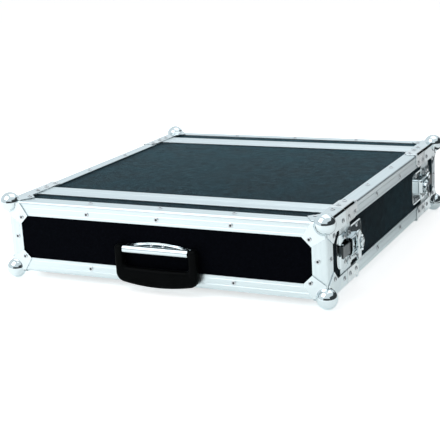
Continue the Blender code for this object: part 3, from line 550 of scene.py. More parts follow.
def channel_section(flange, rim_end, inward, groove):
    """A rim's section as (depth, y): outer flange with drawn lines, back wall, inner flange.

    inward is the way from the seam along y; groove is how far the back wall sits behind the seam.
    """
    outer = lined(0.0, flange, (*RIM_LINES, flange - RIM_LINES[0]))
    back, within = groove + WALL, RIM_DEPTH - WALL
    points = [(WALL, flange), (WALL, back), (within, back), (within, groove + RIM_INNER_FLANGE)]
    points += [(RIM_DEPTH, groove + RIM_INNER_FLANGE), (RIM_DEPTH, groove)]
    if groove:
        points += [(RIB_HIGH, groove), (RIB_HIGH, 0), (RIB_LOW, 0), (RIB_LOW, groove)]
        points += [(WALL, groove), (WALL, 0)]
    else:
        points += [(TONGUE_HIGH, 0), (TONGUE_HIGH, -TONGUE_HEIGHT)]
        points += [(TONGUE_LOW, -TONGUE_HEIGHT), (TONGUE_LOW, 0)]
    section = np.concatenate((outer[:, ::-1], np.array(points)))
    return np.stack((section[:, 0], rim_end + inward * section[:, 1]), -1)


def build_profiles():
    """All aluminium extrusions: the lids' edge frames and rims, the body's rims and edge angles."""
    section = angle_section()
    for end_name, end in ENDS.items():
        body = f"{end_name}_lid"
        ring = np.stack((section[:, 0], end * (OUT_Y - section[:, 1])), -1)
        start = end * (OUT_Y - EDGE_LEG)
        stop = end * (LID_END_Y + LID_FLANGE + SEAT_GAP)
        behind = [straight_angle(side, rise, start, stop) for side, rise in LONG_EDGES]
        profile_piece(f"{body}_edge_frame", [frame_sweep(ring), *behind], body)
        rim = channel_section(LID_FLANGE, end * LID_END_Y, end, GROOVE_DEPTH)
        profile_piece(f"{body}_rim", [frame_sweep(rim)], body)
        node = f"body_{end_name}_rim"
        low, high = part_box(node)
        reach = high[1] - low[1] - TONGUE_HEIGHT
        rim_end = end * (max(abs(low[1]), abs(high[1])) - TONGUE_HEIGHT)
        profile_piece(node, [frame_sweep(channel_section(reach, rim_end, -end, 0))], "body")
    for side_name, side in SIDES.items():
        for level_name, rise in LEVELS.items():
            shape = straight_angle(side, rise, -ANGLE_END_Y, ANGLE_END_Y)
            profile_piece(f"{level_name}_{side_name}_edge_angle", [shape], "body")


def corner_place(side, end, rise, y=OUT_Y):
    """Carries a shape from the corner frame, where the case fills +X, +Y and +Z, to a long edge at y."""
    place = Matrix.Translation((side * OUT_X, end * y, level_z(rise)))
    return place @ Matrix.Diagonal((-side, -end, -rise, 1))


def leaf_to_face(points, face):
    """Turns a leaf's (u, v, c) into the corner frame: c is the way out of face 0, 1 or 2."""
    u, v, c = points[..., 0], points[..., 1], points[..., 2]
    return np.stack(((u, c, v), (u, v, c), (c, v, u))[face], -1)


def split_edges(outline, steps):
    """An open outline with each of its edges divided into equal steps."""
    share = np.linspace(0, 1, steps, endpoint=False)[None, :, None]
    start, stop = outline[:-1, None], outline[1:, None]
    return np.concatenate(((start + (stop - start) * share).reshape(-1, 2), outline[-1:]))


def ball_leaf(outline, face, radius):
    """One leaf of a ball corner: a flat plate that rises in a fillet to the ball.

    Each column runs from the ball's contact circle over the fillet's arc to the leaf's edge and back
    underneath, with one ring more on the flat so that it stays flat to the eye. On a sphere of
    radius R whose centre lies a below the plate, the fillet of radius f has its centre at distance
    sqrt((R + f)^2 - (a + f)^2).
    """
    edge = split_edges(np.array(outline), LEAF_STEPS)
    top = -(SEAT_GAP + STEEL)
    sunk = BALL_INSET - top
    far = math.sqrt((radius + BALL_FILLET) ** 2 - (sunk + BALL_FILLET) ** 2)
    contact = math.atan2(sunk + BALL_FILLET, far)
    turn = np.linspace(-math.pi + contact, -math.pi / 2, FILLET_POINTS)[:, None]
    ring_radius = far + BALL_FILLET * np.cos(turn)
    ring_rise = BALL_FILLET * (1 + np.sin(turn))
    ring_radius = np.concatenate((ring_radius, ring_radius[-1:] + PRESSED_EDGE))
    ring_rise = np.concatenate((ring_rise, ring_rise[-1:]))
    angle = np.arctan2(edge[:, 1] - BALL_INSET, edge[:, 0] - BALL_INSET)
    share = ((angle - angle[0]) / (angle[-1] - angle[0]))[None]
    first = np.arcsin((SLIT - BALL_INSET) / ring_radius)
    around = first + share * (math.pi / 2 - 2 * first)
    u = BALL_INSET + ring_radius * np.cos(around)
    v = BALL_INSET + ring_radius * np.sin(around)
    rings = np.stack((u, v, np.broadcast_to(top - ring_rise, u.shape)), -1)
    rim_top = np.concatenate((edge, np.full((len(edge), 1), top)), -1)[None]
    rim_low = np.concatenate((edge, np.full((len(edge), 1), -SEAT_GAP)), -1)[None]
    under = rings[:1].copy()
    under[..., 2] = -SEAT_GAP
    loop = np.concatenate((rings, rim_top, rim_low, under))
    return grid_shape(leaf_to_face(np.swapaxes(loop, 0, 1), face), wrap_columns=True, caps=True)


def sphere_shape(centre, radius, segments=48, rings=24):
    """A sphere: latitude rows from pole to pole, each a full turn of longitude."""
    tilt = np.linspace(0, math.pi, rings + 1)[:, None]
    turn = np.linspace(0, 2 * math.pi, segments + 1)[None]
    flat = np.sin(tilt)
    points = stacked(flat * np.cos(turn), flat * np.sin(turn), np.cos(tilt))
    return grid_shape(np.array(centre) + radius * points)


def fold_shape(start, stop):
    """The bend over the long edge between two leaves: an L section with a rounded outside."""
    out, inner = -(SEAT_GAP + STEEL), -SEAT_GAP
    reach = SLIT + PRESSED_EDGE
    bend = arc((out + STEEL, out + STEEL), STEEL, 270, 180, EDGE_STEPS)
    inside = [(out, reach), (inner, reach), (inner, inner), (reach, inner)]
    return bar_shape(np.concatenate(([(reach, out)], bend, inside)), start, stop)


def shade_strip_shape(start, stop):
    """A thin dark strip of painted shade over the long edge's round, seen in the slit between two leaves.

    Its section is two arcs about the round's centre, one strip's thickness apart.
    """
    centre = (EDGE_ROUND, EDGE_ROUND)
    outer = arc(centre, EDGE_ROUND + 2 * SHADE_STRIP, SHADE_STRIP_START, SHADE_STRIP_STOP, SHADE_STRIP_STEPS)
    inner = arc(centre, EDGE_ROUND + SHADE_STRIP, SHADE_STRIP_START, SHADE_STRIP_STOP, SHADE_STRIP_STEPS)
    return bar_shape(np.concatenate((outer, inner[::-1])), start, stop)


def build_slit_shade_strips():
    """Dark strips of painted shade in the slits of the ball corners and braces, one piece on each body."""
    covered = math.sqrt(bpy.context.scene.rack_case_sizes.ball_radius ** 2 - 2 * BALL_INSET**2)
    corner = shade_strip_shape(BALL_INSET + covered - SHADE_STRIP, OUT_Y - LEG_END_Y)
    brace = shade_strip_shape(0, BRACE_LENGTH - FOLD_LENGTH)
    # Every strip is painted shade, in the dark moulded plastic finish
    on_body = []
    for end_name, end in ENDS.items():
        body = f"{end_name}_lid"
        on_lid = repeated(corner, [corner_place(side, end, rise) for side, rise in LONG_EDGES])
        mesh_piece(f"{body}_slit_linings", [on_lid], "moulded plastic", body, (), "plastic")
        on_body += [corner_place(side, end, rise, BRACE_END_Y) for side, rise in LONG_EDGES]
    mesh_piece("body_slit_linings", [repeated(brace, on_body)], "moulded plastic", "body", (), "plastic")


def build_corners():
    """The eight ball corners: a polished ball, a short front leaf and two leaves back to the seam."""
    radius = bpy.context.scene.rack_case_sizes.ball_radius
    reach = OUT_Y - LEG_END_Y
    short = [(CORNER_LEG, SLIT), (CORNER_TIP, CORNER_LEG), (CORNER_LEG, CORNER_TIP), (SLIT, CORNER_LEG)]
    long = short[:3] + [(CORNER_LEG, reach), (SLIT, reach)]
    shapes = [sphere_shape((BALL_INSET,) * 3, radius)]
    shapes += [ball_leaf(outline, face, radius) for face, outline in enumerate((short, long, long))]
    for end_name, name, way in CORNERS:
        body = f"{end_name}_lid"
        pressed_piece(f"{name}_ball_corner", shapes, corner_place(*way), body, PRESSED_EDGE, PRESSED_SHARP)


def brace_leaf(face):
    """One leaf of a body brace: a rounded plate tapered at its far end."""
    outline = np.array(
        (
            (SLIT, 0),
            (CORNER_LEG, 0),
            (CORNER_LEG, BRACE_LENGTH - TAPER_LENGTH),
            (CORNER_LEG - TAPER_WIDTH, BRACE_LENGTH),
            (SLIT, BRACE_LENGTH),
        )
    )
    points, faces, uv = plate_shape(outline, -(SEAT_GAP + STEEL), -SEAT_GAP)
    return leaf_to_face(points, face), faces, uv


def build_braces():
    """The eight braces over the joints of the body's rims and edge angles."""
    shapes = [brace_leaf(1), brace_leaf(2), fold_shape(BRACE_LENGTH - FOLD_LENGTH, BRACE_LENGTH)]
    steel = ("plated steel", "zinc")
    for _, name, way in CORNERS:
        place = corner_place(*way, BRACE_END_Y)
        pressed_piece(f"{name}_brace", shapes, place, "body", PRESSED_EDGE, PRESSED_SHARP, steel)


def latch_place(side, end):
    """Carries latch coordinates to a wall: a from the seam into the body, b up, c outwards."""
    turn = Matrix(((0, 0, side, 0), (-end, 0, 0, 0), (0, 1, 0, 0), (0, 0, 0, 1)))
    return Matrix.Translation((side * OUT_X, SEAM_Y * end, MID_Z)) @ turn


def smooth(value, low, high):
    """0 below low, 1 above high, and a smooth step between them."""
    share = np.clip((value - low) / (high - low), 0, 1)
    return share * share * (3 - 2 * share)


def powered(value, power):
    """Each value's size raised to a power, with its sign kept."""
    return np.sign(value) * np.abs(value) ** power


def bell(value, middle, width):
    """1 at the middle and falling to both sides: exp(-((value - middle) / width)^2)."""
    return np.exp(-(((value - middle) / width) ** 2))


def sheet_shape(a, b, top, thickness):
    """A sheet over grids a and b with its upper face at top.

    Every row is one closed loop: across the top, then back underneath one thickness lower.
    """
    upper, lower = stacked(a, b, top), stacked(a, b, top - thickness)[:, ::-1]
    return grid_shape(np.concatenate((upper, lower), 1), wrap_columns=True, caps=True)


def pressed_plate(a, half, height):
    """A pressed sheet over rows a, each from -half to half in b, with its top at height(a, b)."""
    b = half[:, None] * np.linspace(-1, 1, PLATE_COLUMNS)[None]
    return sheet_shape(a[:, None], b, height(a[:, None], b), LATCH_STEEL)


def rounded_rows(start, stop, half, near_round, far_round, steps):
    """Rows along a plate and its half width there: quarter rounds at both ends."""
    way = 1 if stop > start else -1
    turn = np.radians(np.linspace(0, 90, ROUND_ROWS))
    near = near_round * (1 - np.cos(turn))
    far = (stop - start) * way - far_round * (1 - np.cos(turn[::-1]))
    along = np.concatenate((near, np.linspace(near[-1], far[0], steps)[1:-1], far))
    width = np.full(along.shape, half)
    width[:ROUND_ROWS] = half - near_round * (1 - np.sin(turn))
    width[-ROUND_ROWS:] = half - far_round * (1 - np.sin(turn[::-1]))
    return start + way * along, width


def build_latch_base(name, place):
    """The base pressing, cranked from the rim down to the ply, with its raised open-ended housing."""
    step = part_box("body_front_rim")[1][1] + SEAM_Y + SEAT_GAP
    half = BASE_HIGH[2] - MID_Z

    def height(a, b):
        level = ON_RIM + (ON_PLY - ON_RIM) * smooth(a, step, step + CRANK)
        edge = np.minimum(half - np.abs(b), BASE_STOP - a)
        bead = bell(edge, BEAD_INSET, BEAD_WIDTH / math.sqrt(3))
        return level + BEAD_HEIGHT * bead * smooth(a, step + 2 * CRANK, step + 4 * CRANK)

    a, width = rounded_rows(BASE_START, BASE_STOP, half, LATCH_NEAR_ROUND, LATCH_TAIL_ROUND, BASE_ROWS)
    shapes = [pressed_plate(a, width, height), housing_shape()]
    pressed_piece(f"{name}_latch_base", shapes, place, "body", LATCH_EDGE)


def housing_shape():
    """The housing: a boxy arch carried along a, closed by a dome at its far end.

    The arch is b = w * cos(t)^(2/n), c = foot + h * sin(t)^(2/n) with n = 6, outside and inside.
    Along the dome's share s the height falls by sqrt(1 - s^2)^0.6, and the width by a part of that.
    """
    end = BASE_START + HOUSING_LENGTH
    foot = ON_PLY - LATCH_STEEL / 2
    dome = np.sin(np.linspace(0, math.pi / 2, DOME_ROWS))
    turn = np.linspace(math.pi, 0, HOUSING_COLUMNS)
    across, up = powered(np.cos(turn), HOUSING_POWER), powered(np.sin(turn), HOUSING_POWER)

    def arch(half_width, top, stop):
        straight = stop - HOUSING_DOME
        run = np.linspace(BASE_START, straight, HOUSING_ROWS)
        a = np.concatenate((run, straight + HOUSING_DOME * dome[1:]))
        fall = np.ones((len(a), 1))
        fall[HOUSING_ROWS - 1:, 0] = np.sqrt(np.clip(1 - dome**2, 0, 1)) ** DOME_POWER
        rise = foot + (top - foot) * fall * up[None]
        width = half_width * (1 - HOUSING_TAPER + HOUSING_TAPER * fall) * across[None]
        return stacked(a[:, None], width, rise)

    outer = arch(HOUSING_HALF_WIDTH, HOUSING_TOP, end)
    inner = arch(HOUSING_HALF_WIDTH - HOUSING_WALL, HOUSING_TOP - HOUSING_WALL, end - HOUSING_WALL)
    return grid_shape(np.concatenate((inner[::-1], outer)))


def turned(profile, sides=40):
    """A (radius, height) profile turned about the c axis; points on the axis close it."""
    profile = np.array(profile)
    turn = np.linspace(0, 2 * math.pi, sides + 1)[None]
    radius, height = profile[:, :1], profile[:, 1:]
    points = stacked(radius * np.cos(turn), radius * np.sin(turn), height)
    return grid_shape(points)


def rod_shape(radius, low, high):
    """A plain round rod about the c axis."""
    return turned(((0, low), (radius, low), (radius, high), (0, high)), SIDES_OF_RODS)


def build_latch_post(name, place):
    """The turning post: a dished head with a rounded edge, neck, disc, eccentric pin and cross pin."""
    axis = SPINDLE[0] - OUT_X
    top = POST_HIGH[0] - OUT_X
    head_low = 2 * axis - top
    disc_low = HOUSING_TOP - HOUSING_WALL - SEAT_GAP - LATCH_STEEL
    disc_top = disc_low + LATCH_STEEL
    dish_low = top - HEAD_EDGE / 2
    below = ((0, disc_low), (DISC_RADIUS, disc_low), (DISC_RADIUS, disc_top), (NECK_RADIUS, disc_top))
    head = ((NECK_RADIUS, head_low), (HEAD_RADIUS, head_low))
    edge = arc((HEAD_RADIUS - HEAD_EDGE, top - HEAD_EDGE), HEAD_EDGE, 0, 90, HEAD_STEPS)
    dish = ((HEAD_RADIUS * DISH_RIM, top), (HEAD_RADIUS * DISH_FLOOR, dish_low), (0, dish_low))
    to_axis = place @ Matrix.Translation((SPINDLE_A, 0, 0))
    pin = rod_shape(ECCENTRIC_RADIUS, POST_LOW[0] - OUT_X, disc_low + HEAD_EDGE)
    half = (POST_HIGH[2] - POST_LOW[2]) / 2
    narrow, straight = CROSS_PIN_RADIUS - CROSS_PIN_EDGE, half - CROSS_PIN_EDGE
    cross_pin = [(0, -half), (narrow, -half), (CROSS_PIN_RADIUS, -straight)]
    cross_pin += [(CROSS_PIN_RADIUS, straight), (narrow, half), (0, half)]
    across = Matrix.Translation((0, 0, axis)) @ Matrix.Rotation(math.pi / 2, 4, "X")
    shapes = [
        moved(turned(np.concatenate((below, head, edge, dish))), to_axis),
        moved(pin, to_axis @ Matrix.Translation((-ECCENTRIC_THROW, 0, 0))),
        moved(turned(cross_pin, SIDES_OF_PIN), to_axis @ across),
    ]
    node = f"{name}_latch_post"
    mesh_piece(f"{node}_turned", shapes, "polished chrome", f"{name}_latch_turn", [node], "chrome")


def build_latch_wing(name, place):
    """The butterfly wing, folded down towards the seam, in rows across its span.

    Each row runs from its near edge behind the head to its far edge, reach * (0.74 + 0.26 * sin^2),
    whose crests are at the two lobes, and the sheet curls up with the square of its distance from
    the knuckles. A row of its own closes each step between notch, knuckle and shoulder.
    """
    span = WING_HIGH[2] - MID_Z
    reach = SPINDLE[1] - WING_LOW[1]
    axis = SPINDLE[0] - OUT_X
    lobe_start = span - WING_TIP
    middle = np.linspace(-1, 1, WING_MIDDLE_ROWS) * (WING_NOTCH - WING_STEP)
    knuckle = np.linspace(WING_NOTCH, KNUCKLE_END, WING_KNUCKLE_ROWS)
    shoulder = np.linspace(KNUCKLE_END + WING_STEP, lobe_start, WING_SHOULDER_ROWS)[:-1]
    lobe = span - WING_TIP * (1 - np.sin(np.radians(np.linspace(0, 90, ROUND_ROWS))))
    right = np.concatenate((knuckle, shoulder, lobe))
    b = np.concatenate((-right[::-1], middle, right))[:, None]
    size = np.abs(b)
    beyond = np.maximum(size - KNUCKLE_END, 0)
    into_tip = np.clip(size - lobe_start, 0, WING_TIP) / WING_TIP
    round_off = WING_TIP * (1 - np.sqrt(np.clip(1 - into_tip**2, 0, 1)))
    crest = np.sin(np.clip(size / lobe_start, 0, 1) * math.pi / 2) ** 2
    far = reach * (1 - WING_CREST + WING_CREST * crest) - round_off
    outside = WING_SHOULDER + WING_SLOPE * beyond + WING_TIP_CUT * round_off
    near = np.where(size < WING_NOTCH, WING_BRIDGE, np.where(size <= KNUCKLE_END, -WING_STEEL, outside))
    a = near + (far - near) * np.linspace(0, 1, WING_COLUMNS)[None]
    curl = WING_CURL * (beyond / (span - KNUCKLE_END)) ** 2
    hollow = HOLLOW_DEPTH * bell(size, HOLLOW_B, HOLLOW_B_WIDTH) * bell(a, HOLLOW_A, HOLLOW_A_WIDTH)
    top = axis + WING_STEEL / 2 + curl - hollow
    shapes = [sheet_shape(SPINDLE_A - a, b, top, WING_STEEL)]
    tube = KNUCKLE_BORE + WING_STEEL / 2
    ring = [(KNUCKLE_BORE, WING_NOTCH), (tube - KNUCKLE_EDGE, WING_NOTCH), (tube, WING_NOTCH + KNUCKLE_EDGE)]
    ring += [(tube, KNUCKLE_END - KNUCKLE_EDGE), (tube - KNUCKLE_EDGE, KNUCKLE_END)]
    ring += [(KNUCKLE_BORE, KNUCKLE_END), (KNUCKLE_BORE, WING_NOTCH)]
    for way in (-1, 1):
        across = Matrix.Translation((SPINDLE_A, 0, axis)) @ Matrix.Rotation(-way * math.pi / 2, 4, "X")
        shapes.append(moved(turned(ring, SIDES_OF_RODS), across))
    body = f"{name}_latch_wing"
    pressed_piece(body, shapes, place, body, WING_EDGE)


def build_latch_keeper(name, place, body):
    """The keeper: a rounded pressing cranked from the lid's rim to the ply, with its raised lip."""
    step = LID_FLANGE + SEAT_GAP - SEAM_FROM_RIM
    half = KEEPER_HIGH[2] - MID_Z

    def height(a, b):
        level = ON_RIM + (ON_PLY - ON_RIM) * smooth(-a, step, step + CRANK)
        along = smooth(-a, *RIDGE_RISE) * (1 - smooth(-a, *RIDGE_FALL))
        return level + BEAD_HEIGHT * along * bell(np.abs(b), RIDGE_MIDDLE, RIDGE_WIDTH)

    rounds = (LATCH_NEAR_ROUND, KEEPER_ROUND)
    a, width = rounded_rows(KEEPER_START, KEEPER_STOP, half, *rounds, KEEPER_ROWS)
    near, far, side = -LIP_FROM_SEAM, -LIP_FROM_SEAM - LIP_THICKNESS, LIP_HALF_WIDTH
    outline = rounded_outline(((near, side), (far, side), (far, -side), (near, -side)), LIP_ROUND)
    lip = plate_shape(outline, ON_RIM - LATCH_STEEL / 2, KEEPER_HIGH[0] - OUT_X)
    pressed_piece(f"{name}_latch_keeper", [pressed_plate(a, width, height), lip], place, body, LATCH_EDGE)


def build_latches():
    """The four butterfly latches; their claws keep the frame's own shape."""
    for end_name, end in ENDS.items():
        for side_name, side in SIDES.items():
            name = f"{end_name}_{side_name}"
            place = latch_place(side, end)
            build_latch_base(name, place)
            build_latch_post(name, place)
            build_latch_wing(name, place)
            build_latch_keeper(name, place, f"{end_name}_lid")
            claw = frame["nodes"][f"{name}_latch_claw"]
            claw.data.materials[0] = bpy.data.materials["burnished steel"]


def build_handle():
    """The handle: a half-moon sheet that rolls out into the rod's barrel, and the moulded grip.

    Each row across x is one closed loop: up the back, down a flat rim, through a hollow blend, down
    the slope, and round the barrel. The slope is z = c + k y, with k the tangent of its fall, and
    meets the barrel's circle of radius R where (1 + k^2) y^2 + 2 k c y + c^2 = R^2. The blend over
    a share t of its run is (1 - t)^2 * rim end + 2 t (1 - t) * slope top + t^2 * slope end.
    """
    out = HANDLE_HIGH[1] - GRIP_AXIS[1]
    half = HANDLE_HIGH[0]
    span = half - TAB_LENGTH
    foot, crown = HANDLE_LOW[2] - GRIP_AXIS[2], HANDLE_HIGH[2] - GRIP_AXIS[2]
    tab = foot + TAB_HEIGHT
    root = out - WALL
    tab_x = np.linspace(span, half, TAB_ROWS)[1:]
    x = np.concatenate((-tab_x[::-1], np.linspace(-span, span, SPAN_ROWS), tab_x))
    top = tab + (crown - tab) * np.clip(1 - (x / span) ** 2, 0, 1)
    into = np.clip((np.abs(x) - half + TAB_CORNER) / TAB_CORNER, 0, 1)
    top = top - TAB_CORNER * (1 - np.sqrt(1 - into**2))
    slope_top = np.maximum(top - PLATE_FLANGE, 0)
    fall = math.tan(PLATE_FALL)
    start = slope_top - fall * root
    square = 1 + fall**2
    met = (-fall * start + np.sqrt((fall * start) ** 2 - square * (start**2 - BARREL_RADIUS**2))) / square
    touch = np.arctan2(start + fall * met, met)
    turn = np.linspace(touch, 3 * math.pi / 2, BARREL_COLUMNS, axis=1)
    wrap = BARREL_RADIUS * np.stack((np.cos(turn), np.sin(turn)), -1)
    level = np.full(x.shape, root)
    crease = np.stack((level, slope_top), -1)
    run = wrap[:, 0] - crease
    far = np.linalg.norm(run, axis=-1, keepdims=True)
    below = crease + run * np.minimum(PLATE_BLEND / far, 0.5)
    above = np.stack((level, np.minimum(slope_top + PLATE_BLEND, (slope_top + top) / 2)), -1)
    t = np.linspace(0, 1, BLEND_COLUMNS)[None, :, None]
    blend = (1 - t) ** 2 * above[:, None] + 2 * t * (1 - t) * crease[:, None] + t**2 * below[:, None]
    back = [np.stack((np.full(x.shape, out), z), -1) for z in (np.full(x.shape, foot), top)]
    face = np.stack((level, top), -1)
    loop = np.concatenate((np.stack((*back, face), 1), blend, wrap), 1)
    points = np.concatenate((np.broadcast_to(x[:, None, None], (*loop.shape[:2], 1)), loop), -1)
    shapes = [grid_shape(points + np.array((0, GRIP_AXIS[1], GRIP_AXIS[2])), wrap_columns=True, caps=True)]
    node = "handle_plate"
    mesh_piece(f"{node}_sheet", shapes, "polished chrome", "front_lid", [node], "chrome", LATCH_EDGE)
    build_grip()


def grip_outline(half, inner, top, bar_low, bar_top, low):
    """The right half of the grip's outer and inner outline, row for row, from the arm's top to its middle."""
    outer_arm = np.linspace((half, top), (half, bar_low + GRIP_CORNER + GRIP_CORNER_EASE), GRIP_STEPS)
    inner_arm = np.linspace((inner, top), (inner, bar_top + GRIP_WINDOW), GRIP_STEPS + 1)[:-1]
    outer_centre = (half - GRIP_CORNER, bar_low + GRIP_CORNER)
    inner_centre = (inner - GRIP_WINDOW, bar_top + GRIP_WINDOW)
    outer_bend = arc(outer_centre, GRIP_CORNER, 0, GRIP_CORNER_TURN, GRIP_STEPS)
    inner_bend = arc(inner_centre, GRIP_WINDOW, 0, -90, GRIP_STEPS)
    share = np.linspace(1, 0, GRIP_STEPS + 2)[1:]
    fall = 1 - share**2
    (x, z), inner_x = outer_bend[-1], inner_bend[-1, 0]
    bow = np.stack((x * share, z - (z - low) * fall), -1)
    sag = np.stack((inner_x * share, bar_top - GRIP_SAG * fall), -1)
    return np.concatenate((outer_arm, outer_bend, bow)), np.concatenate((inner_arm, inner_bend, sag))


def build_grip():
    """The grip: one rounded section carried round a U, between an outer and an inner outline.

    The section is centre + half width * cos^(2/n) across and half depth * sin^(2/n) along y, n = 3.2.
    Both arms close over a cap, where the section shrinks by cos(t) as it climbs by sin(t).
    """
    half = GRIP_HIGH[0]
    deep = (GRIP_HIGH[1] - GRIP_LOW[1]) / 2
    top = GRIP_HIGH[2] - GRIP_AXIS[2] - GRIP_CAP
    low = GRIP_LOW[2] - GRIP_AXIS[2]
    inner = half - GRIP_ARM
    outer, within = grip_outline(half, inner, top, low + GRIP_BOW, low + GRIP_BAR, low)
    mirror = np.array((-1, 1))
    outer = np.concatenate((outer, outer[-2::-1] * mirror))
    within = np.concatenate((within, within[-2::-1] * mirror))
    middle, reach = (outer + within) / 2, (outer - within) / 2
    climb = np.radians(np.linspace(90, 0, CAP_ROWS))[:-1]
    cap = np.stack((np.zeros(climb.shape), GRIP_CAP * np.sin(climb)), -1)
    size = np.concatenate((np.cos(climb), np.ones(len(middle)), np.cos(climb)[::-1]))[:, None]
    middle = np.concatenate((middle[:1] + cap, middle, middle[-1:] + cap[::-1]))
    reach = np.pad(reach, ((len(climb), len(climb)), (0, 0)), mode="edge")
    turn = np.linspace(0, 2 * math.pi, GRIP_COLUMNS)[:-1]
    across, along = powered(np.cos(turn), GRIP_POWER), powered(np.sin(turn), GRIP_POWER)
    x = middle[:, :1] + reach[:, :1] * across[None] * size
    z = middle[:, 1:] + reach[:, 1:] * across[None] * size
    y = deep * along[None] * size
    shape = grid_shape(np.stack((x, y, z), -1) + np.array(GRIP_AXIS), wrap_columns=True)
    rod_end = half - GRIP_ARM / 2
    across_case = Matrix.Translation(GRIP_AXIS) @ Matrix.Rotation(math.pi / 2, 4, "Y")
    rod = moved(rod_shape(GRIP_ROD, -rod_end, rod_end), across_case)
    node = "handle_grip"
    looks = ("moulded plastic", "handle", [node], "plastic")
    mesh_piece(f"{node}_moulding", [shape, rod], *looks, sharp=GRIP_SHARP)


def rivet_shape(radius):
    """A blind rivet's head turned from its profile: flange, low dome and the hole over its broken pin.

    Its flat map is (x, y) in shares of the radius, so a finish can tell the hole from the head.
    """
    profile = np.array(RIVET_PROFILE) * (radius, radius * RIVET_HEIGHT)
    points, faces, uv = turned(profile, SIDES_OF_RODS)
    return points, faces, uv / radius


def seat(point, normal):
    """Stands a rivet on a face: its foot at the point, its head along the normal."""
    turn = Vector(normal).to_track_quat("Z", "Y").to_matrix().to_4x4()
    return Matrix.Translation(Vector(point) + Vector(normal) * SEAT_GAP) @ turn


def edge_places(end):
    """Rivets along a lid's edge frame, on its face and on the two walls behind it.

    The one in the middle below the handle is left out, because the grip lies on that spot.
    """
    pitch = bpy.context.scene.rack_case_sizes.rivet_pitch
    places = []
    for rise in LEVELS.values():
        for x in (-pitch, 0, pitch):
            if (x, end, rise) != (0, -1, -1):
                places.append(seat((x, end * OUT_Y, level_z(rise) - rise * RIVET_LINE), (0, end, 0)))
            places.append(seat((x, end * (OUT_Y - RIVET_LINE), level_z(rise)), (0, 0, rise)))
    for side in SIDES.values():
        places.append(seat((side * (OUT_X - RIVET_LINE), end * OUT_Y, MID_Z), (0, end, 0)))
        places.append(seat((side * OUT_X, end * (OUT_Y - RIVET_LINE), MID_Z), (side, 0, 0)))
    return places


def leaf_places(distances, outwards):
    """Rivets on both walls beside the four long edges, at distances along y and so far outwards."""
    places = []
    for side, rise in LONG_EDGES:
        z = level_z(rise)
        for y in distances:
            places.append(seat((side * (OUT_X - RIVET_LINE), y, z + rise * outwards), (0, 0, rise)))
            places.append(seat((side * (OUT_X + outwards), y, z - rise * RIVET_LINE), (side, 0, 0)))
    return places


def corner_places(end, outwards):
    """The rivet in each leaf's tip of a lid's four ball corners."""
    reach = (CORNER_LEG + CORNER_TIP) / 2 - CORNER_RIVET_INSET
    places = []
    for side, rise in LONG_EDGES:
        corner = Vector((side * OUT_X, end * OUT_Y, level_z(rise)))
        inward = Vector((-side, -end, -rise)) * reach
        for axis, way in enumerate((side, end, rise)):
            normal = Vector((0, 0, 0))
            normal[axis] = way
            step = inward.copy()
            step[axis] = way * outwards
            places.append(seat(corner + step, normal))
    return places


def latch_places(side, end):
    """Rivets of one latch: through its base, and through its keeper."""
    place = latch_place(side, end)
    near, far = BASE_START + BASE_RIVET_INSETS[0], BASE_STOP - BASE_RIVET_INSETS[1]
    half = BASE_HIGH[2] - MID_Z - BASE_RIVET_SIDE
    keeper_half = KEEPER_HIGH[2] - MID_Z - KEEPER_RIVET_INSET
    base, keeper = [], []
    for way in (-1, 1):
        base += [(near, way * half, ON_RIM), (far, way * (half + BASE_RIVET_SPREAD), ON_PLY)]
        keeper.append((KEEPER_START - KEEPER_RIVET_INSET, way * keeper_half, ON_RIM))
    return [[seat(place @ Vector(point), (side, 0, 0)) for point in points] for points in (base, keeper)]


def handle_places():
    """Two small rivets through the handle plate's slope, beside its crown."""
    y = HANDLE_HIGH[1] - WALL - PLATE_RIVET_OUT
    z = HANDLE_HIGH[2] - PLATE_FLANGE - math.tan(PLATE_FALL) * PLATE_RIVET_OUT - SEAT_GAP
    normal = (0, -math.sin(PLATE_FALL), math.cos(PLATE_FALL))
    return [seat((way * PLATE_RIVET_X, y, z), normal) for way in (-1, 1)]


def build_rivets():
    """All rivet heads, one piece on each body they ride with."""
    sizes = bpy.context.scene.rack_case_sizes
    rivet = rivet_shape(sizes.rivet_radius)
    on_body = []
    for end_name, end in ENDS.items():
        on_lid = edge_places(end) + corner_places(end, PLATE_OUT)
        on_lid += leaf_places((end * (LEG_END_Y + BALL_RIVET_INSET),), PLATE_OUT)
        on_body += leaf_places([end * (BRACE_END_Y - inset) for inset in BRACE_RIVET_INSETS], PLATE_OUT)
        for side in SIDES.values():
            base, keeper = latch_places(side, end)
            on_body += base
            on_lid += keeper
        heads = [repeated(rivet, on_lid)]
        if end < 0:
            heads.append(repeated(rivet_shape(PLATE_RIVET_RADIUS), handle_places()))
        body = f"{end_name}_lid"
        mesh_piece(f"{body}_rivets", heads, "rivet aluminium", body, (), "aluminium")
    step = sizes.rivet_pitch / 2
    on_body += leaf_places((step,), 0) + leaf_places((-step,), 0)
    mesh_piece("body_rivets", [repeated(rivet, on_body)], "rivet aluminium", "body", (), "aluminium")


def build_panels():
    """Finishes the frame's own panels and rails, and adds the rails' screws."""
    for name, node in frame["nodes"].items():
        if name.endswith(("_panel", "_lid_board", "_lid_walls")):
            node.data.materials[0] = bpy.data.materials["textured laminate"]
        elif name.endswith("_rack_rail"):
            node.data.materials[0] = bpy.data.materials["plated steel"]
    screw = turned(np.array(SCREW_PROFILE) * (SCREW_RADIUS, SCREW_HEIGHT), SIDES_OF_SCREW)
    places = []
    for side_name, side in SIDES.items():
        for end_name in ENDS:
            low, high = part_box(f"{end_name}_{side_name}_rack_rail")
            inside = (low[0] if side > 0 else high[0]) + side * (high[0] - low[0] - RAIL_STEEL)
            y = (low[1] + high[1]) / 2
            for step in (-SCREW_PITCH, 0, SCREW_PITCH):
                places.append(seat((inside, y, MID_Z + step), (-side, 0, 0)))
    mesh_piece("rail_screws", [repeated(screw, places)], "plated steel", "body", (), "zinc")


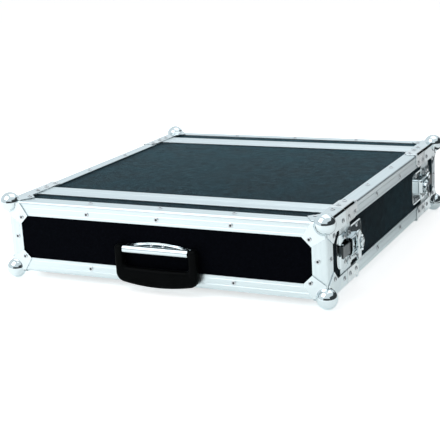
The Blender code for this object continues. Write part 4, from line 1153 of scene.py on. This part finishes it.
def new_group(name, inputs, outputs):
    """A shader node group with float or vector inputs and named outputs."""
    group = bpy.data.node_groups.new(name, "ShaderNodeTree")
    for socket, kind in inputs:
        group.interface.new_socket(socket, in_out="INPUT", socket_type=kind)
    for socket in outputs:
        group.interface.new_socket(socket, in_out="OUTPUT", socket_type="NodeSocketFloat")
    return group, group.nodes.new("NodeGroupInput"), group.nodes.new("NodeGroupOutput")


def math_node(tree, operation, first, second):
    """A math node fed by sockets or plain numbers; returns its output."""
    node = tree.nodes.new("ShaderNodeMath")
    node.operation = operation
    for socket, value in zip(node.inputs, (first, second)):
        if isinstance(value, bpy.types.NodeSocket):
            tree.links.new(value, socket)
        else:
            socket.default_value = value
    return node.outputs[0]


def scaled(tree, value, factor):
    """A value times a number or another value."""
    return math_node(tree, "MULTIPLY", value, factor)


def added(tree, first, share, second, other_share):
    """The sum of two values, each times its share."""
    return math_node(tree, "ADD", scaled(tree, first, share), scaled(tree, second, other_share))


def noise_node(tree, vector, scale, detail=4.0, roughness=0.55):
    """A noise texture's value at a scale; the scale may be a socket."""
    node = tree.nodes.new("ShaderNodeTexNoise")
    node.inputs["Detail"].default_value = detail
    node.inputs["Roughness"].default_value = roughness
    tree.links.new(vector, node.inputs["Vector"])
    if isinstance(scale, bpy.types.NodeSocket):
        tree.links.new(scale, node.inputs["Scale"])
    else:
        node.inputs["Scale"].default_value = scale
    return node.outputs[0]


def spread(tree, value, low, high):
    """Maps low..high of a value to 0..1, clamped."""
    node = tree.nodes.new("ShaderNodeMapRange")
    tree.links.new(value, node.inputs["Value"])
    node.inputs["From Min"].default_value = low
    node.inputs["From Max"].default_value = high
    return node.outputs[0]


def make_grain_group():
    """Pebble grain: raised cells with fine noise on them, as a height and a cell mask."""
    inputs = (("Vector", "NodeSocketVector"), ("Scale", "NodeSocketFloat"))
    group, source, sink = new_group("pebble grain", inputs, ("Height", "Cells"))
    vector, scale = source.outputs["Vector"], source.outputs["Scale"]
    cells = group.nodes.new("ShaderNodeTexVoronoi")
    cells.feature = "SMOOTH_F1"
    group.links.new(vector, cells.inputs["Vector"])
    group.links.new(scale, cells.inputs["Scale"])
    fine = noise_node(group, vector, scaled(group, scale, FINE_SCALE), detail=FINE_DETAIL)
    bumps = spread(group, cells.outputs["Distance"], *GRAIN_EDGES)
    height = math_node(group, "ADD", bumps, scaled(group, fine, FINE_SHARE))
    group.links.new(height, sink.inputs["Height"])
    group.links.new(bumps, sink.inputs["Cells"])


def make_wear_group():
    """Handling marks: soft smudges and fine crossing scratches, as masks."""
    inputs = (("Vector", "NodeSocketVector"), ("Scale", "NodeSocketFloat"))
    group, source, sink = new_group("handling marks", inputs, ("Smudge", "Scratches"))
    vector, scale = source.outputs["Vector"], source.outputs["Scale"]
    clouds = noise_node(group, vector, scaled(group, scale, SMUDGE_SCALE), detail=SMUDGE_DETAIL)
    group.links.new(spread(group, clouds, *SMUDGE_RANGE), sink.inputs["Smudge"])
    families = []
    for turn, shift in SCRATCH_TURNS:
        mapping = group.nodes.new("ShaderNodeMapping")
        mapping.inputs["Rotation"].default_value = [turn * tilt for tilt in SCRATCH_TILT]
        mapping.inputs["Location"].default_value = (shift, 0, shift)
        mapping.inputs["Scale"].default_value = SCRATCH_STRETCH
        group.links.new(vector, mapping.inputs["Vector"])
        families.append(spread(group, noise_node(group, mapping.outputs[0], 1.0, detail=1.0), *SCRATCH_RANGE))
    group.links.new(math_node(group, "MAXIMUM", *families), sink.inputs["Scratches"])


def make_drawn_group():
    """Drawn lines along a profile: noise stretched along v, fine across u, at two widths."""
    group, source, sink = new_group("drawn lines", (("Vector", "NodeSocketVector"),), DRAWN)
    for name, stretch in DRAWN.items():
        mapping = group.nodes.new("ShaderNodeMapping")
        mapping.inputs["Scale"].default_value = stretch
        group.links.new(source.outputs["Vector"], mapping.inputs["Vector"])
        group.links.new(noise_node(group, mapping.outputs[0], 1.0, detail=DRAWN_DETAIL), sink.inputs[name])


def place_group(tree, name, vector, **values):
    """Places a shared group in a material, sets its inputs and returns its outputs."""
    node = tree.nodes.new("ShaderNodeGroup")
    node.node_tree = bpy.data.node_groups[name]
    tree.links.new(vector, node.inputs["Vector"])
    for socket, value in values.items():
        node.inputs[socket].default_value = value
    return node.outputs


def blank_material(name, metallic):
    """A material with its Principled shader and its coordinates."""
    made = bpy.data.materials.new(name)
    made.use_nodes = True
    tree = made.node_tree
    shader = tree.nodes["Principled BSDF"]
    shader.inputs["Metallic"].default_value = metallic
    return tree, shader, tree.nodes.new("ShaderNodeTexCoord").outputs


def shade_between(tree, factor, low, high):
    """A colour between two, by a factor; each may be a socket."""
    node = tree.nodes.new("ShaderNodeMix")
    node.data_type = "RGBA"
    tree.links.new(factor, node.inputs["Factor"])
    for socket, value in zip(node.inputs[6:8], (low, high)):
        if isinstance(value, bpy.types.NodeSocket):
            tree.links.new(value, socket)
        else:
            socket.default_value = (*value, 1)
    return node.outputs[2]


def level_between(tree, factor, low, high):
    """A number between two, by a factor."""
    node = tree.nodes.new("ShaderNodeMapRange")
    tree.links.new(factor, node.inputs["Value"])
    node.inputs["To Min"].default_value = low
    node.inputs["To Max"].default_value = high
    return node.outputs[0]


def add_bump(tree, shader, height, strength, distance):
    """Feeds a height to the shader's normal through a bump node."""
    bump = tree.nodes.new("ShaderNodeBump")
    bump.inputs["Strength"].default_value = strength
    bump.inputs["Distance"].default_value = distance
    tree.links.new(height, bump.inputs["Height"])
    tree.links.new(bump.outputs[0], shader.inputs["Normal"])


def make_materials():
    """All finishes, each with colour, roughness and relief that vary over the surface."""
    colours = bpy.context.scene.rack_case_colours
    make_grain_group()
    make_wear_group()
    make_drawn_group()
    make_laminate(tuple(colours.laminate))
    make_aluminium(tuple(colours.aluminium))
    for name, (colour, roughness) in METALS.items():
        make_metal(name, tuple(getattr(colours, colour)), roughness)
    make_rivet(tuple(colours.rivet), tuple(colours.pin))
    make_plastic(tuple(colours.plastic))


def toned(colour, factor):
    """A colour made lighter or darker."""
    return tuple(part * factor for part in colour)


def make_laminate(colour):
    """Black laminate: a fine pebble grain, faint lighter speckle, smudges and an uneven bluish sheen."""
    tree, shader, places = blank_material("textured laminate", 0.0)
    place = places["Object"]
    grain = place_group(tree, "pebble grain", place, Scale=LAMINATE_GRAIN)
    wear = place_group(tree, "handling marks", place, Scale=1.0)
    mottle = spread(tree, noise_node(tree, place, **MOTTLE), *MOTTLE_RANGE)
    flecks = spread(tree, noise_node(tree, place, **FLECKS), *FLECK_RANGE)
    shader.inputs["Specular IOR Level"].default_value = LAMINATE_GLOSS
    shader.inputs["Sheen Roughness"].default_value = SHEEN_ROUGHNESS
    shader.inputs["Sheen Tint"].default_value = SHEEN_TINT
    dusty = added(tree, flecks, FLECK_SHARE, wear["Smudge"], SMUDGE_SHARE)
    tree.links.new(level_between(tree, dusty, *SHEEN_RANGE), shader.inputs["Sheen Weight"])
    speckle = scaled(tree, grain["Cells"], mottle)
    base = shade_between(tree, speckle, colour, toned(colour, SPECKLED))
    tree.links.new(base, shader.inputs["Base Color"])
    smudged = level_between(tree, wear["Smudge"], *LAMINATE_ROUGH)
    rough = math_node(tree, "SUBTRACT", smudged, scaled(tree, mottle, MOTTLE_GLOSS))
    tree.links.new(rough, shader.inputs["Roughness"])
    add_bump(tree, shader, grain["Height"], *RELIEF["laminate"])


def make_aluminium(colour):
    """Satin extruded aluminium: drawn lines along the profile, soft bands and light handling marks."""
    tree, shader, places = blank_material("drawn aluminium", 1.0)
    drawn = place_group(tree, "drawn lines", places["UV"])
    wear = place_group(tree, "handling marks", places["Object"], Scale=1.0)
    tone = spread(tree, added(tree, drawn["Bands"], BAND_SHARE, drawn["Lines"], LINE_SHARE), *TONE_RANGE)
    base = shade_between(tree, tone, toned(colour, BANDED), colour)
    tree.links.new(base, shader.inputs["Base Color"])
    low = level_between(tree, drawn["Lines"], *ALUMINIUM_ROUGH)
    marked = math_node(tree, "ADD", low, scaled(tree, wear["Scratches"], ALUMINIUM_SCRATCHED))
    tree.links.new(marked, shader.inputs["Roughness"])
    add_bump(tree, shader, drawn["Lines"], *RELIEF["aluminium"])


def make_metal(name, colour, roughness):
    """Plated metal: slightly uneven gloss, smudges and hairline scratches."""
    tree, shader, places = blank_material(name, 1.0)
    wear = place_group(tree, "handling marks", places["Object"], Scale=2.0)
    base = shade_between(tree, wear["Smudge"], colour, toned(colour, METAL_SMUDGED))
    tree.links.new(base, shader.inputs["Base Color"])
    soft = level_between(tree, wear["Smudge"], *roughness)
    marked = math_node(tree, "ADD", soft, scaled(tree, wear["Scratches"], METAL_SCRATCHED))
    tree.links.new(marked, shader.inputs["Roughness"])
    add_bump(tree, shader, noise_node(tree, places["Object"], **WAVES), *RELIEF["metal"])


def make_rivet(colour, pin):
    """Aluminium rivet heads, each rough in the hole over its pin and dark there, partly the pin's own tone
    and partly painted shade in the recess, smudged on its rim.
    """
    tree, shader, places = blank_material("rivet aluminium", 1.0)
    wear = place_group(tree, "handling marks", places["Object"], Scale=3.0)
    away = tree.nodes.new("ShaderNodeVectorMath")
    away.operation = "LENGTH"
    tree.links.new(places["UV"], away.inputs[0])
    head = spread(tree, away.outputs["Value"], *RIVET_HOLE)
    bright = shade_between(tree, wear["Smudge"], colour, toned(colour, RIVET_SMUDGED))
    # The hole takes the pin's dark colour: partly the pin's own tone, partly painted shade in the recess
    tree.links.new(shade_between(tree, head, pin, bright), shader.inputs["Base Color"])
    rim = level_between(tree, wear["Smudge"], *RIVET_ROUGH)
    rough = math_node(tree, "MAXIMUM", rim, math_node(tree, "SUBTRACT", RIVET_HOLE_ROUGH, head))
    tree.links.new(rough, shader.inputs["Roughness"])
    add_bump(tree, shader, wear["Scratches"], *RELIEF["rivet"])


def make_plastic(colour):
    """Black moulded plastic: fine spark-eroded grain, and smudges that are lighter and rougher."""
    # This finish also colours the strips of painted shade in the slits
    tree, shader, places = blank_material("moulded plastic", 0.0)
    shader.inputs["Specular IOR Level"].default_value = PLASTIC_GLOSS
    grain = place_group(tree, "pebble grain", places["Object"], Scale=PLASTIC_GRAIN)
    wear = place_group(tree, "handling marks", places["Object"], Scale=3.0)
    base = shade_between(tree, wear["Smudge"], colour, toned(colour, PLASTIC_SMUDGED))
    tree.links.new(base, shader.inputs["Base Color"])
    tree.links.new(level_between(tree, wear["Smudge"], *PLASTIC_ROUGH), shader.inputs["Roughness"])
    add_bump(tree, shader, grain["Height"], *RELIEF["plastic"])


def build_camera():
    """The camera at the photograph's place: it looks at its target, turned by its roll."""
    az, el, roll = CAMERA_AZIMUTH, CAMERA_ELEVATION, CAMERA_ROLL
    back = Vector((math.sin(az) * math.cos(el), -math.cos(az) * math.cos(el), math.sin(el)))
    level = Vector((math.cos(az), math.sin(az), 0))
    upright = back.cross(level)
    right = level * math.cos(roll) + upright * math.sin(roll)
    up = upright * math.cos(roll) - level * math.sin(roll)
    data = bpy.data.cameras.new("camera")
    data.lens = CAMERA_LENS
    data.sensor_width = CAMERA_SENSOR
    camera = bpy.data.objects.new("camera", data)
    turn = Matrix((right, up, back)).transposed().to_4x4()
    camera.matrix_world = Matrix.Translation(CAMERA_TARGET + back * CAMERA_DISTANCE) @ turn
    bpy.context.scene.collection.objects.link(camera)
    bpy.context.scene.camera = camera


def add_lamp(name, place, target, size, power):
    """A soft square lamp that looks at a target."""
    data = bpy.data.lights.new(name, "AREA")
    data.shape = "SQUARE"
    data.size = size
    data.energy = power
    lamp = bpy.data.objects.new(name, data)
    lamp.location = place
    lamp.rotation_mode = "QUATERNION"
    lamp.rotation_quaternion = (Vector(target) - Vector(place)).to_track_quat("-Z", "Y")
    bpy.context.scene.collection.objects.link(lamp)
    return lamp


def add_sheet(name, corners, finish):
    """A flat stage piece with the given corners."""
    mesh = bpy.data.meshes.new(name)
    mesh.from_pydata(corners, [], [tuple(range(len(corners)))])
    mesh.materials.append(finish)
    sheet = bpy.data.objects.new(name, mesh)
    bpy.context.scene.collection.objects.link(sheet)
    return sheet


def add_card(name, corners, finish):
    """A dark card that only reflections see, as a studio's black flag."""
    card = add_sheet(name, corners, finish)
    card.visible_camera = False
    card.visible_diffuse = False
    card.visible_shadow = False


def build_cards(floor_z):
    """Dark cards upright beyond the camera, at the right and behind, and one on the floor at the right."""
    made = bpy.data.materials.new("black card")
    made.use_nodes = True
    shader = made.node_tree.nodes["Principled BSDF"]
    shader.inputs["Base Color"].default_value = CARD_COLOUR
    shader.inputs["Roughness"].default_value = CARD_ROUGHNESS
    for name, (start, stop, height) in CARDS.items():
        high = floor_z + height
        add_card(name, ((*start, floor_z), (*stop, floor_z), (*stop, high), (*start, high)), made)
    add_card("side card", [(x, y, floor_z + SIDE_CARD_HEIGHT) for x, y in SIDE_CARD], made)


def path_shares(tree):
    """1 where the camera sees a surface itself, and 1 where a glossy or clear surface shows it."""
    path = tree.nodes.new("ShaderNodeLightPath")
    outputs = path.outputs
    mirrored = math_node(tree, "MAXIMUM", outputs["Is Glossy Ray"], outputs["Is Transmission Ray"])
    return outputs["Is Camera Ray"], mirrored


def build_world(level, tint):
    """A white world where it is seen, a faintly tinted one in reflections, and a plain level of light."""
    world = bpy.data.worlds.new("studio")
    world.use_nodes = True
    bpy.context.scene.world = world
    tree = world.node_tree
    backdrop = tree.nodes["Background"]
    seen, mirrored = path_shares(tree)
    tree.links.new(shade_between(tree, mirrored, (1, 1, 1), tint), backdrop.inputs["Color"])
    direct = math_node(tree, "MAXIMUM", seen, mirrored)
    tree.links.new(level_between(tree, direct, level, 1.0), backdrop.inputs["Strength"])


def make_floor(glow, mirror_glow):
    """The pale floor: a little glow lifts it to white where it is seen, and in front also in mirrors."""
    made = bpy.data.materials.new("pale floor")
    made.use_nodes = True
    tree = made.node_tree
    shader = tree.nodes["Principled BSDF"]
    shader.inputs["Base Color"].default_value = FLOOR_COLOUR
    shader.inputs["Roughness"].default_value = FLOOR_ROUGHNESS
    shader.inputs["Specular IOR Level"].default_value = FLOOR_GLOSS
    seen, mirrored = path_shares(tree)
    tree.links.new(shade_between(tree, mirrored, (1, 1, 1), FLOOR_TINT), shader.inputs["Emission Color"])
    place = tree.nodes.new("ShaderNodeTexCoord")
    parts = tree.nodes.new("ShaderNodeSeparateXYZ")
    tree.links.new(place.outputs["Object"], parts.inputs[0])
    in_front = scaled(tree, spread(tree, parts.outputs["Y"], *FLOOR_FADE), mirror_glow)
    tree.links.new(added(tree, seen, glow, mirrored, in_front), shader.inputs["Emission Strength"])
    return made


def build_stage():
    """A pale floor under the ball corners, soft lamps, the white world and the camera."""
    stage = bpy.context.scene.rack_case_stage
    floor_z = CAD_BOX[0][2]
    half = stage.floor_half
    corners = [(x * half, y * half, floor_z) for x, y in ((-1, -1), (1, -1), (1, 1), (-1, 1))]
    add_sheet("floor", corners, make_floor(stage.floor_glow, stage.mirror_glow))
    add_lamp("key", *KEY_LAMP, stage.key_power)
    add_lamp("top", *TOP_LAMP, stage.top_power)
    low_lamp = add_lamp("low", *LOW_LAMP, stage.graze_power)
    low_lamp.visible_glossy = False
    build_cards(floor_z)
    build_world(stage.world_level, tuple(stage.mirror_tint))
    build_camera()
    bpy.context.scene.view_settings.view_transform = "Standard"


class RackCaseSizes(bpy.types.PropertyGroup):
    """Small sizes of the case's hardware."""

    ball_radius: FloatProperty(
        name="Ball radius",
        description="Radius of each ball corner",
        default=0.015,
        unit="LENGTH",
    )
    rivet_radius: FloatProperty(
        name="Rivet radius",
        description="Radius of a rivet's head",
        default=0.0035,
        unit="LENGTH",
    )
    rivet_pitch: FloatProperty(
        name="Rivet pitch",
        description="Distance between rivets along a profile",
        default=0.116,
        unit="LENGTH",
    )


class RackCaseColours(bpy.types.PropertyGroup):
    """Colours of the finishes."""

    laminate: FloatVectorProperty(
        name="Laminate",
        description="Colour of the panels",
        subtype="COLOR",
        default=(0.0020, 0.0024, 0.0040),
    )
    aluminium: FloatVectorProperty(
        name="Aluminium",
        description="Colour of the profiles",
        subtype="COLOR",
        default=(0.76, 0.83, 0.85),
    )
    chrome: FloatVectorProperty(
        name="Chrome",
        description="Colour of corners, latches and handle plate",
        subtype="COLOR",
        default=(0.73, 0.79, 0.81),
    )
    steel: FloatVectorProperty(
        name="Plated steel",
        description="Colour of braces, rails and screws",
        subtype="COLOR",
        default=(0.84, 0.87, 0.88),
    )
    claw: FloatVectorProperty(
        name="Burnished steel",
        description="Colour of the latches' claws",
        subtype="COLOR",
        default=(0.17, 0.18, 0.185),
    )
    rivet: FloatVectorProperty(
        name="Rivets",
        description="Colour of the rivet heads",
        subtype="COLOR",
        default=(0.74, 0.76, 0.78),
    )
    # Dark colour in the rivets' holes: partly the steel pin's own tone, partly painted shade in the recess
    pin: FloatVectorProperty(
        name="Rivet pins",
        description="Colour in the rivets' holes",
        subtype="COLOR",
        default=(0.10, 0.105, 0.11),
    )
    # Also the colour of the strips of painted shade in the corners' slits
    plastic: FloatVectorProperty(
        name="Grip plastic",
        description="Colour of the handle's grip",
        subtype="COLOR",
        default=(0.0022, 0.0026, 0.0028),
    )


class RackCaseStage(bpy.types.PropertyGroup):
    """Size of the floor and levels of the light."""

    floor_half: FloatProperty(
        name="Floor half size",
        description="Half the floor's side",
        default=6.0,
        unit="LENGTH",
    )
    key_power: FloatProperty(
        name="Key lamp",
        description="Power of the front lamp",
        default=19.0,
        unit="POWER",
    )
    top_power: FloatProperty(
        name="Top lamp",
        description="Power of the lamp above",
        default=9.0,
        unit="POWER",
    )
    graze_power: FloatProperty(
        name="Low lamp",
        description="Power of the low lamp at the left",
        default=44.0,
        unit="POWER",
    )
    world_level: FloatProperty(
        name="World level",
        description="Strength of the surrounding light",
        default=0.38,
    )
    floor_glow: FloatProperty(
        name="Floor glow",
        description="How far the seen floor is lifted",
        default=0.62,
    )
    mirror_glow: FloatProperty(
        name="Mirrored glow",
        description="How far the mirrored floor is lifted",
        default=0.54,
    )
    mirror_tint: FloatVectorProperty(
        name="Mirror tint",
        description="Colour of the surroundings in reflections",
        subtype="COLOR",
        default=(0.82, 0.90, 0.94),
    )


class RACKCASE_OT_materials(bpy.types.Operator):
    """Make every finish"""

    bl_idname = "rackcase.materials"
    bl_label = "Finishes"

    def execute(self, context):
        make_materials()
        return {"FINISHED"}


class RACKCASE_OT_profiles(bpy.types.Operator):
    """Make the aluminium profiles"""

    bl_idname = "rackcase.profiles"
    bl_label = "Profiles"

    def execute(self, context):
        build_profiles()
        return {"FINISHED"}


class RACKCASE_OT_corners(bpy.types.Operator):
    """Make the ball corners"""

    bl_idname = "rackcase.corners"
    bl_label = "Ball corners"

    def execute(self, context):
        build_corners()
        return {"FINISHED"}


class RACKCASE_OT_braces(bpy.types.Operator):
    """Make the braces of the body's rims and the dark strips of painted shade in the slits"""

    bl_idname = "rackcase.braces"
    bl_label = "Braces"

    def execute(self, context):
        build_braces()
        build_slit_shade_strips()
        return {"FINISHED"}


class RACKCASE_OT_latches(bpy.types.Operator):
    """Make the butterfly latches"""

    bl_idname = "rackcase.latches"
    bl_label = "Latches"

    def execute(self, context):
        build_latches()
        return {"FINISHED"}


class RACKCASE_OT_handle(bpy.types.Operator):
    """Make the carrying handle"""

    bl_idname = "rackcase.handle"
    bl_label = "Handle"

    def execute(self, context):
        build_handle()
        return {"FINISHED"}


class RACKCASE_OT_rivets(bpy.types.Operator):
    """Make the rivet heads"""

    bl_idname = "rackcase.rivets"
    bl_label = "Rivets"

    def execute(self, context):
        build_rivets()
        return {"FINISHED"}


class RACKCASE_OT_panels(bpy.types.Operator):
    """Finish the panels and rack rails"""

    bl_idname = "rackcase.panels"
    bl_label = "Panels and rails"

    def execute(self, context):
        build_panels()
        return {"FINISHED"}


class RACKCASE_OT_stage(bpy.types.Operator):
    """Make the floor, lamps, world and camera"""

    bl_idname = "rackcase.stage"
    bl_label = "Stage"

    def execute(self, context):
        build_stage()
        return {"FINISHED"}


OPERATORS = (
    RACKCASE_OT_materials,
    RACKCASE_OT_profiles,
    RACKCASE_OT_corners,
    RACKCASE_OT_braces,
    RACKCASE_OT_latches,
    RACKCASE_OT_handle,
    RACKCASE_OT_rivets,
    RACKCASE_OT_panels,
    RACKCASE_OT_stage,
)


class RACKCASE_PT_panel(bpy.types.Panel):
    """Lists the case's sizes, colours and operators."""

    bl_idname = "RACKCASE_PT_panel"
    bl_label = "Rack case"
    bl_space_type = "VIEW_3D"
    bl_region_type = "UI"
    bl_category = "Rack case"

    def draw(self, context):
        layout = self.layout
        for group in ("rack_case_sizes", "rack_case_colours", "rack_case_stage"):
            values = getattr(context.scene, group)
            for name in values.__annotations__:
                layout.prop(values, name)
        for operator in OPERATORS:
            layout.operator(operator.bl_idname)


PROPERTY_GROUPS = {
    "rack_case_sizes": RackCaseSizes,
    "rack_case_colours": RackCaseColours,
    "rack_case_stage": RackCaseStage,
}


def register():
    """Registers the classes and hangs the property groups on the scene."""
    for made in (*PROPERTY_GROUPS.values(), *OPERATORS, RACKCASE_PT_panel):
        bpy.utils.register_class(made)
    for name, made in PROPERTY_GROUPS.items():
        setattr(bpy.types.Scene, name, PointerProperty(type=made))


def unregister():
    """Takes the property groups and classes away again."""
    for name in PROPERTY_GROUPS:
        delattr(bpy.types.Scene, name)
    for made in reversed((*PROPERTY_GROUPS.values(), *OPERATORS, RACKCASE_PT_panel)):
        bpy.utils.unregister_class(made)


def main():
    register()
    bpy.ops.rackcase.materials()
    bpy.ops.rackcase.profiles()
    bpy.ops.rackcase.corners()
    bpy.ops.rackcase.braces()
    bpy.ops.rackcase.latches()
    bpy.ops.rackcase.handle()
    bpy.ops.rackcase.rivets()
    bpy.ops.rackcase.panels()
    bpy.ops.rackcase.stage()


if __name__ == "__main__":
    main()
